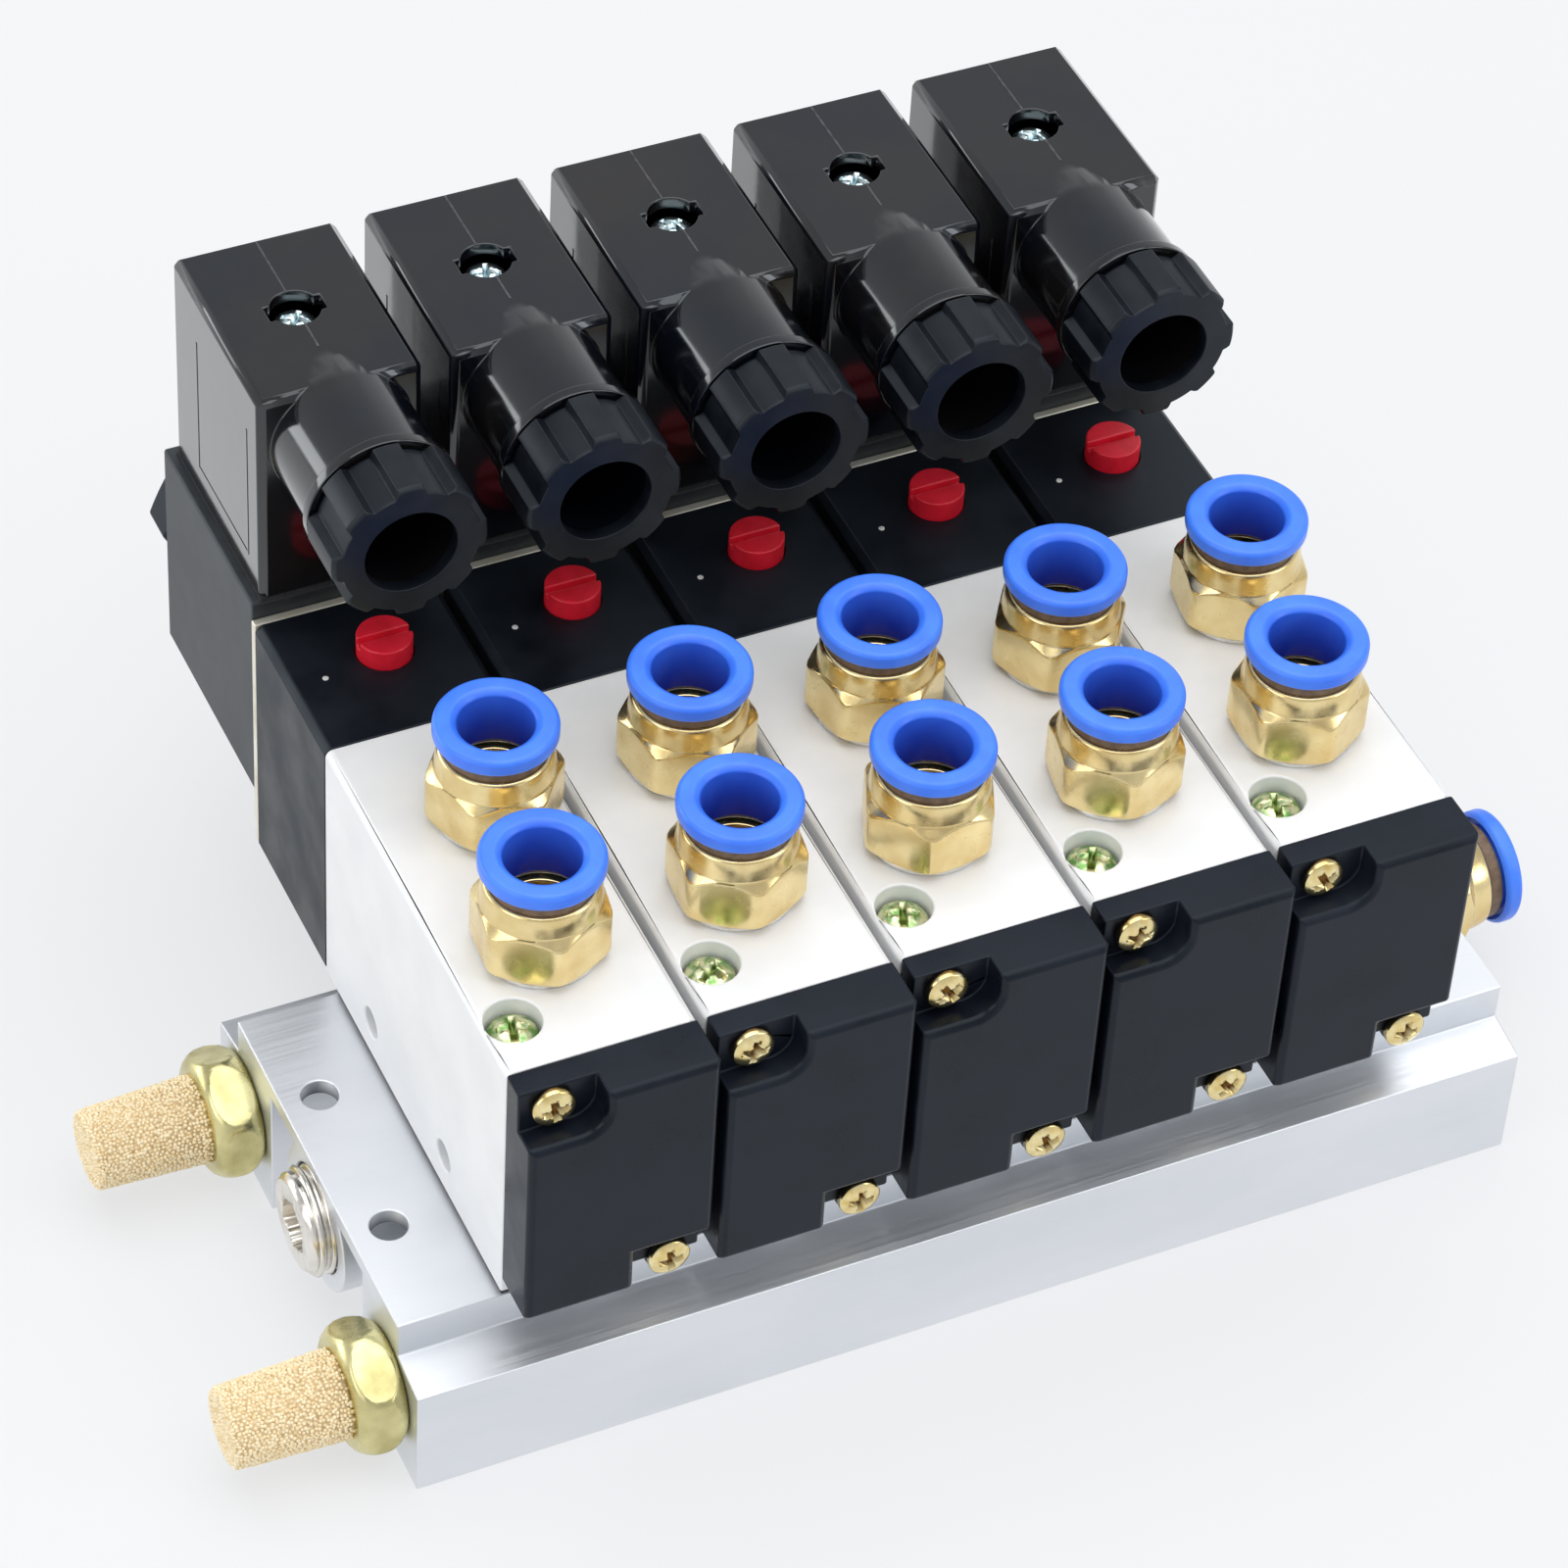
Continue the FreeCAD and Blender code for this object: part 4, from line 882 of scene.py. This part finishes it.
def socket_plug(root, crest, pitch, length, flats):
    """A socket plug along Z whose outer face lies on Z = 0: a turned bar, its socket and its thread."""
    end_chamfer, rim_fall, rim_step, socket_depth = 0.5, 0.7, 0.6, 5.0
    thread_start, plain_length = 0.7, 1.8
    bar = [
        (-length, 0), (-length, root - end_chamfer), (end_chamfer - length, root), (-rim_fall, root),
        (0, root - rim_step), (0, 0),
    ]
    way = [(-socket_depth, 0), (-socket_depth, flats), (0.4, flats), (0.4, 0)]
    piece = cut_by(shown("plug", turned(bar), None), turned(way, hexagon(flats)))
    softened(piece, 0.12, over=35)
    whole = bmesh.new()
    whole.from_mesh(piece.data)
    rise = length - plain_length
    thread = winding(root, rise, rise / pitch, crest - root, corners=4, around=48, made=nickel)
    thread.transform(Matrix.Translation((0, 0, (thread_start - length) * mm)))
    whole.from_mesh(thread)
    whole.to_mesh(piece.data)
    whole.free()
    mesh = piece.data
    bpy.data.objects.remove(piece)
    return mesh


proud, sunk = 2.8, 0.5
supply_end = [((-base_end - proud, 0, supply_axis), face_left)]
supply_mesh = socket_plug(root=6.0, crest=6.52, pitch=1.34, length=11.8, flats=6.0)
supply_plug = copies("supply_plug", supply_mesh, supply_end, nickel)
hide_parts("port_plugs")
exhaust_ends = [((base_end - sunk, y, exhaust_axis), face_right) for y in exhaust_y]
exhaust_mesh = socket_plug(root=4.4, crest=4.8, pitch=0.91, length=9.0, flats=5.0)
exhaust_plugs = copies("exhaust_plugs", exhaust_mesh, exhaust_ends, nickel)

# Springs. Wound from stainless wire: one behind each end cap that sends the spool back, one in each
# armature, and a short one under each override button.
wire = finish("spring_wire", (0.56, 0.55, 0.53), 1.0, 0.28)
tinted(wire, pattern(wire, 1.0, Detail=3.0), (0.46, 0.45, 0.43), (0.64, 0.63, 0.61))
worn(wire, pattern(wire, 0.4), 0.22, 0.38)
spool_axis = 18.75
for label, joint, node, radius, bar, turns, start, end, keep in (
    (
        "return_spring", "spool_shift", "spool_springs", 3.65, 0.35, 8.5,
        (0, -29.0, spool_axis), (0, -16.3, spool_axis), 0.606,
    ),
    (
        "armature_spring", "armature_pull", "armature_springs", 1.25, 0.25, 9.5,
        (0, 67.6, coil_axis), (0, 59.6, coil_axis), 0.875,
    ),
    (
        "button_spring", "override_press", "override_springs", 2.1, 0.2, 1.8,
        (1.2, 40.3, 31.35), (1.2, 40.3, 33.25), 0.2,
    ),
):
    start, end = Vector(start), Vector(end)
    way = (end - start).normalized()
    rise = (end - start).length - 2 * bar
    coil_mesh = winding(radius, rise, turns, bar, corners=10, around=24, made=wire)
    lying = way.to_track_quat("Z", "Y").to_matrix().to_4x4()
    coil_mesh.transform(Matrix.Translation((start + way * bar) * mm) @ lying)
    for i, x in zip(stations, station_x):
        spring = shown("%s_%d" % (label, i), coil_mesh.copy(), wire)
        spring.data.transform(Matrix.Translation((x * mm, 0, 0)))
        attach(spring, "manifold")
        if i == 1:
            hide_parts(node)
        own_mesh(spring)

# Spools. Turned from aluminium bar and hard anodised grey, with fine turning rings. Each slides in its valve
# body, between the pilot's air and the return spring.
hard_coat = finish("hard_anodised", (0.30, 0.31, 0.33), 0.7, 0.34)
rings_turned = pattern(hard_coat, 0.2, (0.02, 1, 0.02), Detail=4.0)
tinted(hard_coat, rings_turned, (0.24, 0.25, 0.27), (0.36, 0.37, 0.39))
relief(hard_coat, rings_turned, 0.008, 0.4)
for i in stations:
    spool = edged("spool_%d" % i, "spool_shaft_%d" % i, 0.15, hard_coat)
    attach(spool, "spool_%d" % i)
    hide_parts("spool_%d" % i)

# Armatures and core tubes. Magnetic stainless steel, turned and ground to a satin skin; the armature slides
# in its tube, and the tube screws into the pilot head.
core_steel = finish("ground_stainless", (0.58, 0.57, 0.56), 1.0, 0.3)
grind = pattern(core_steel, 0.2, (1, 0.05, 1), Detail=4.0)
tinted(core_steel, grind, (0.50, 0.49, 0.48), (0.64, 0.63, 0.62))
worn(core_steel, grind, 0.24, 0.38)
for i in stations:
    armature = edged("armature_%d" % i, "armature_core_%d" % i, 0.15, core_steel)
    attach(armature, "armature_%d" % i)
    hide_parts("armature_%d" % i)
tubes = edged("core_tubes", "armature_tubes", 0.12, core_steel)
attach(tubes, "manifold")
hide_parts("core_tubes")

# Override pins. Cut from drawn brass wire, with broken ends. One stands under each button and reaches down
# to the air way in the pilot head.
for i in stations:
    pin = edged("override_pin_%d" % i, "button_pin_%d" % i, 0.12, brass)
    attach(pin, "override_pin_%d" % i)
    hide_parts("override_pin_%d" % i)

# Terminal blades and blocks. Tinned blades stand on each coil, and a grey moulded block inside the connector
# plugs onto them.
tinned = finish("tinned_brass", (0.66, 0.64, 0.58), 1.0, 0.28)
tinted(tinned, pattern(tinned, 1.5, Detail=4.0), (0.56, 0.53, 0.45), (0.74, 0.72, 0.67))
blades = edged("terminal_blades", "coil_blades", 0.1, tinned)
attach(blades, "manifold")
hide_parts("terminal_blades")
block_nylon = finish("block_nylon", (0.09, 0.09, 0.095), 0.0, 0.5)
tinted(block_nylon, pattern(block_nylon, 2.5, Detail=4.0), (0.07, 0.07, 0.075), (0.12, 0.12, 0.125))
relief(block_nylon, pattern(block_nylon, 0.3), 0.012, 0.4)
blocks = edged("terminal_blocks", "blade_sockets", 0.2, block_nylon)
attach(blocks, "manifold")
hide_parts("terminal_blocks")
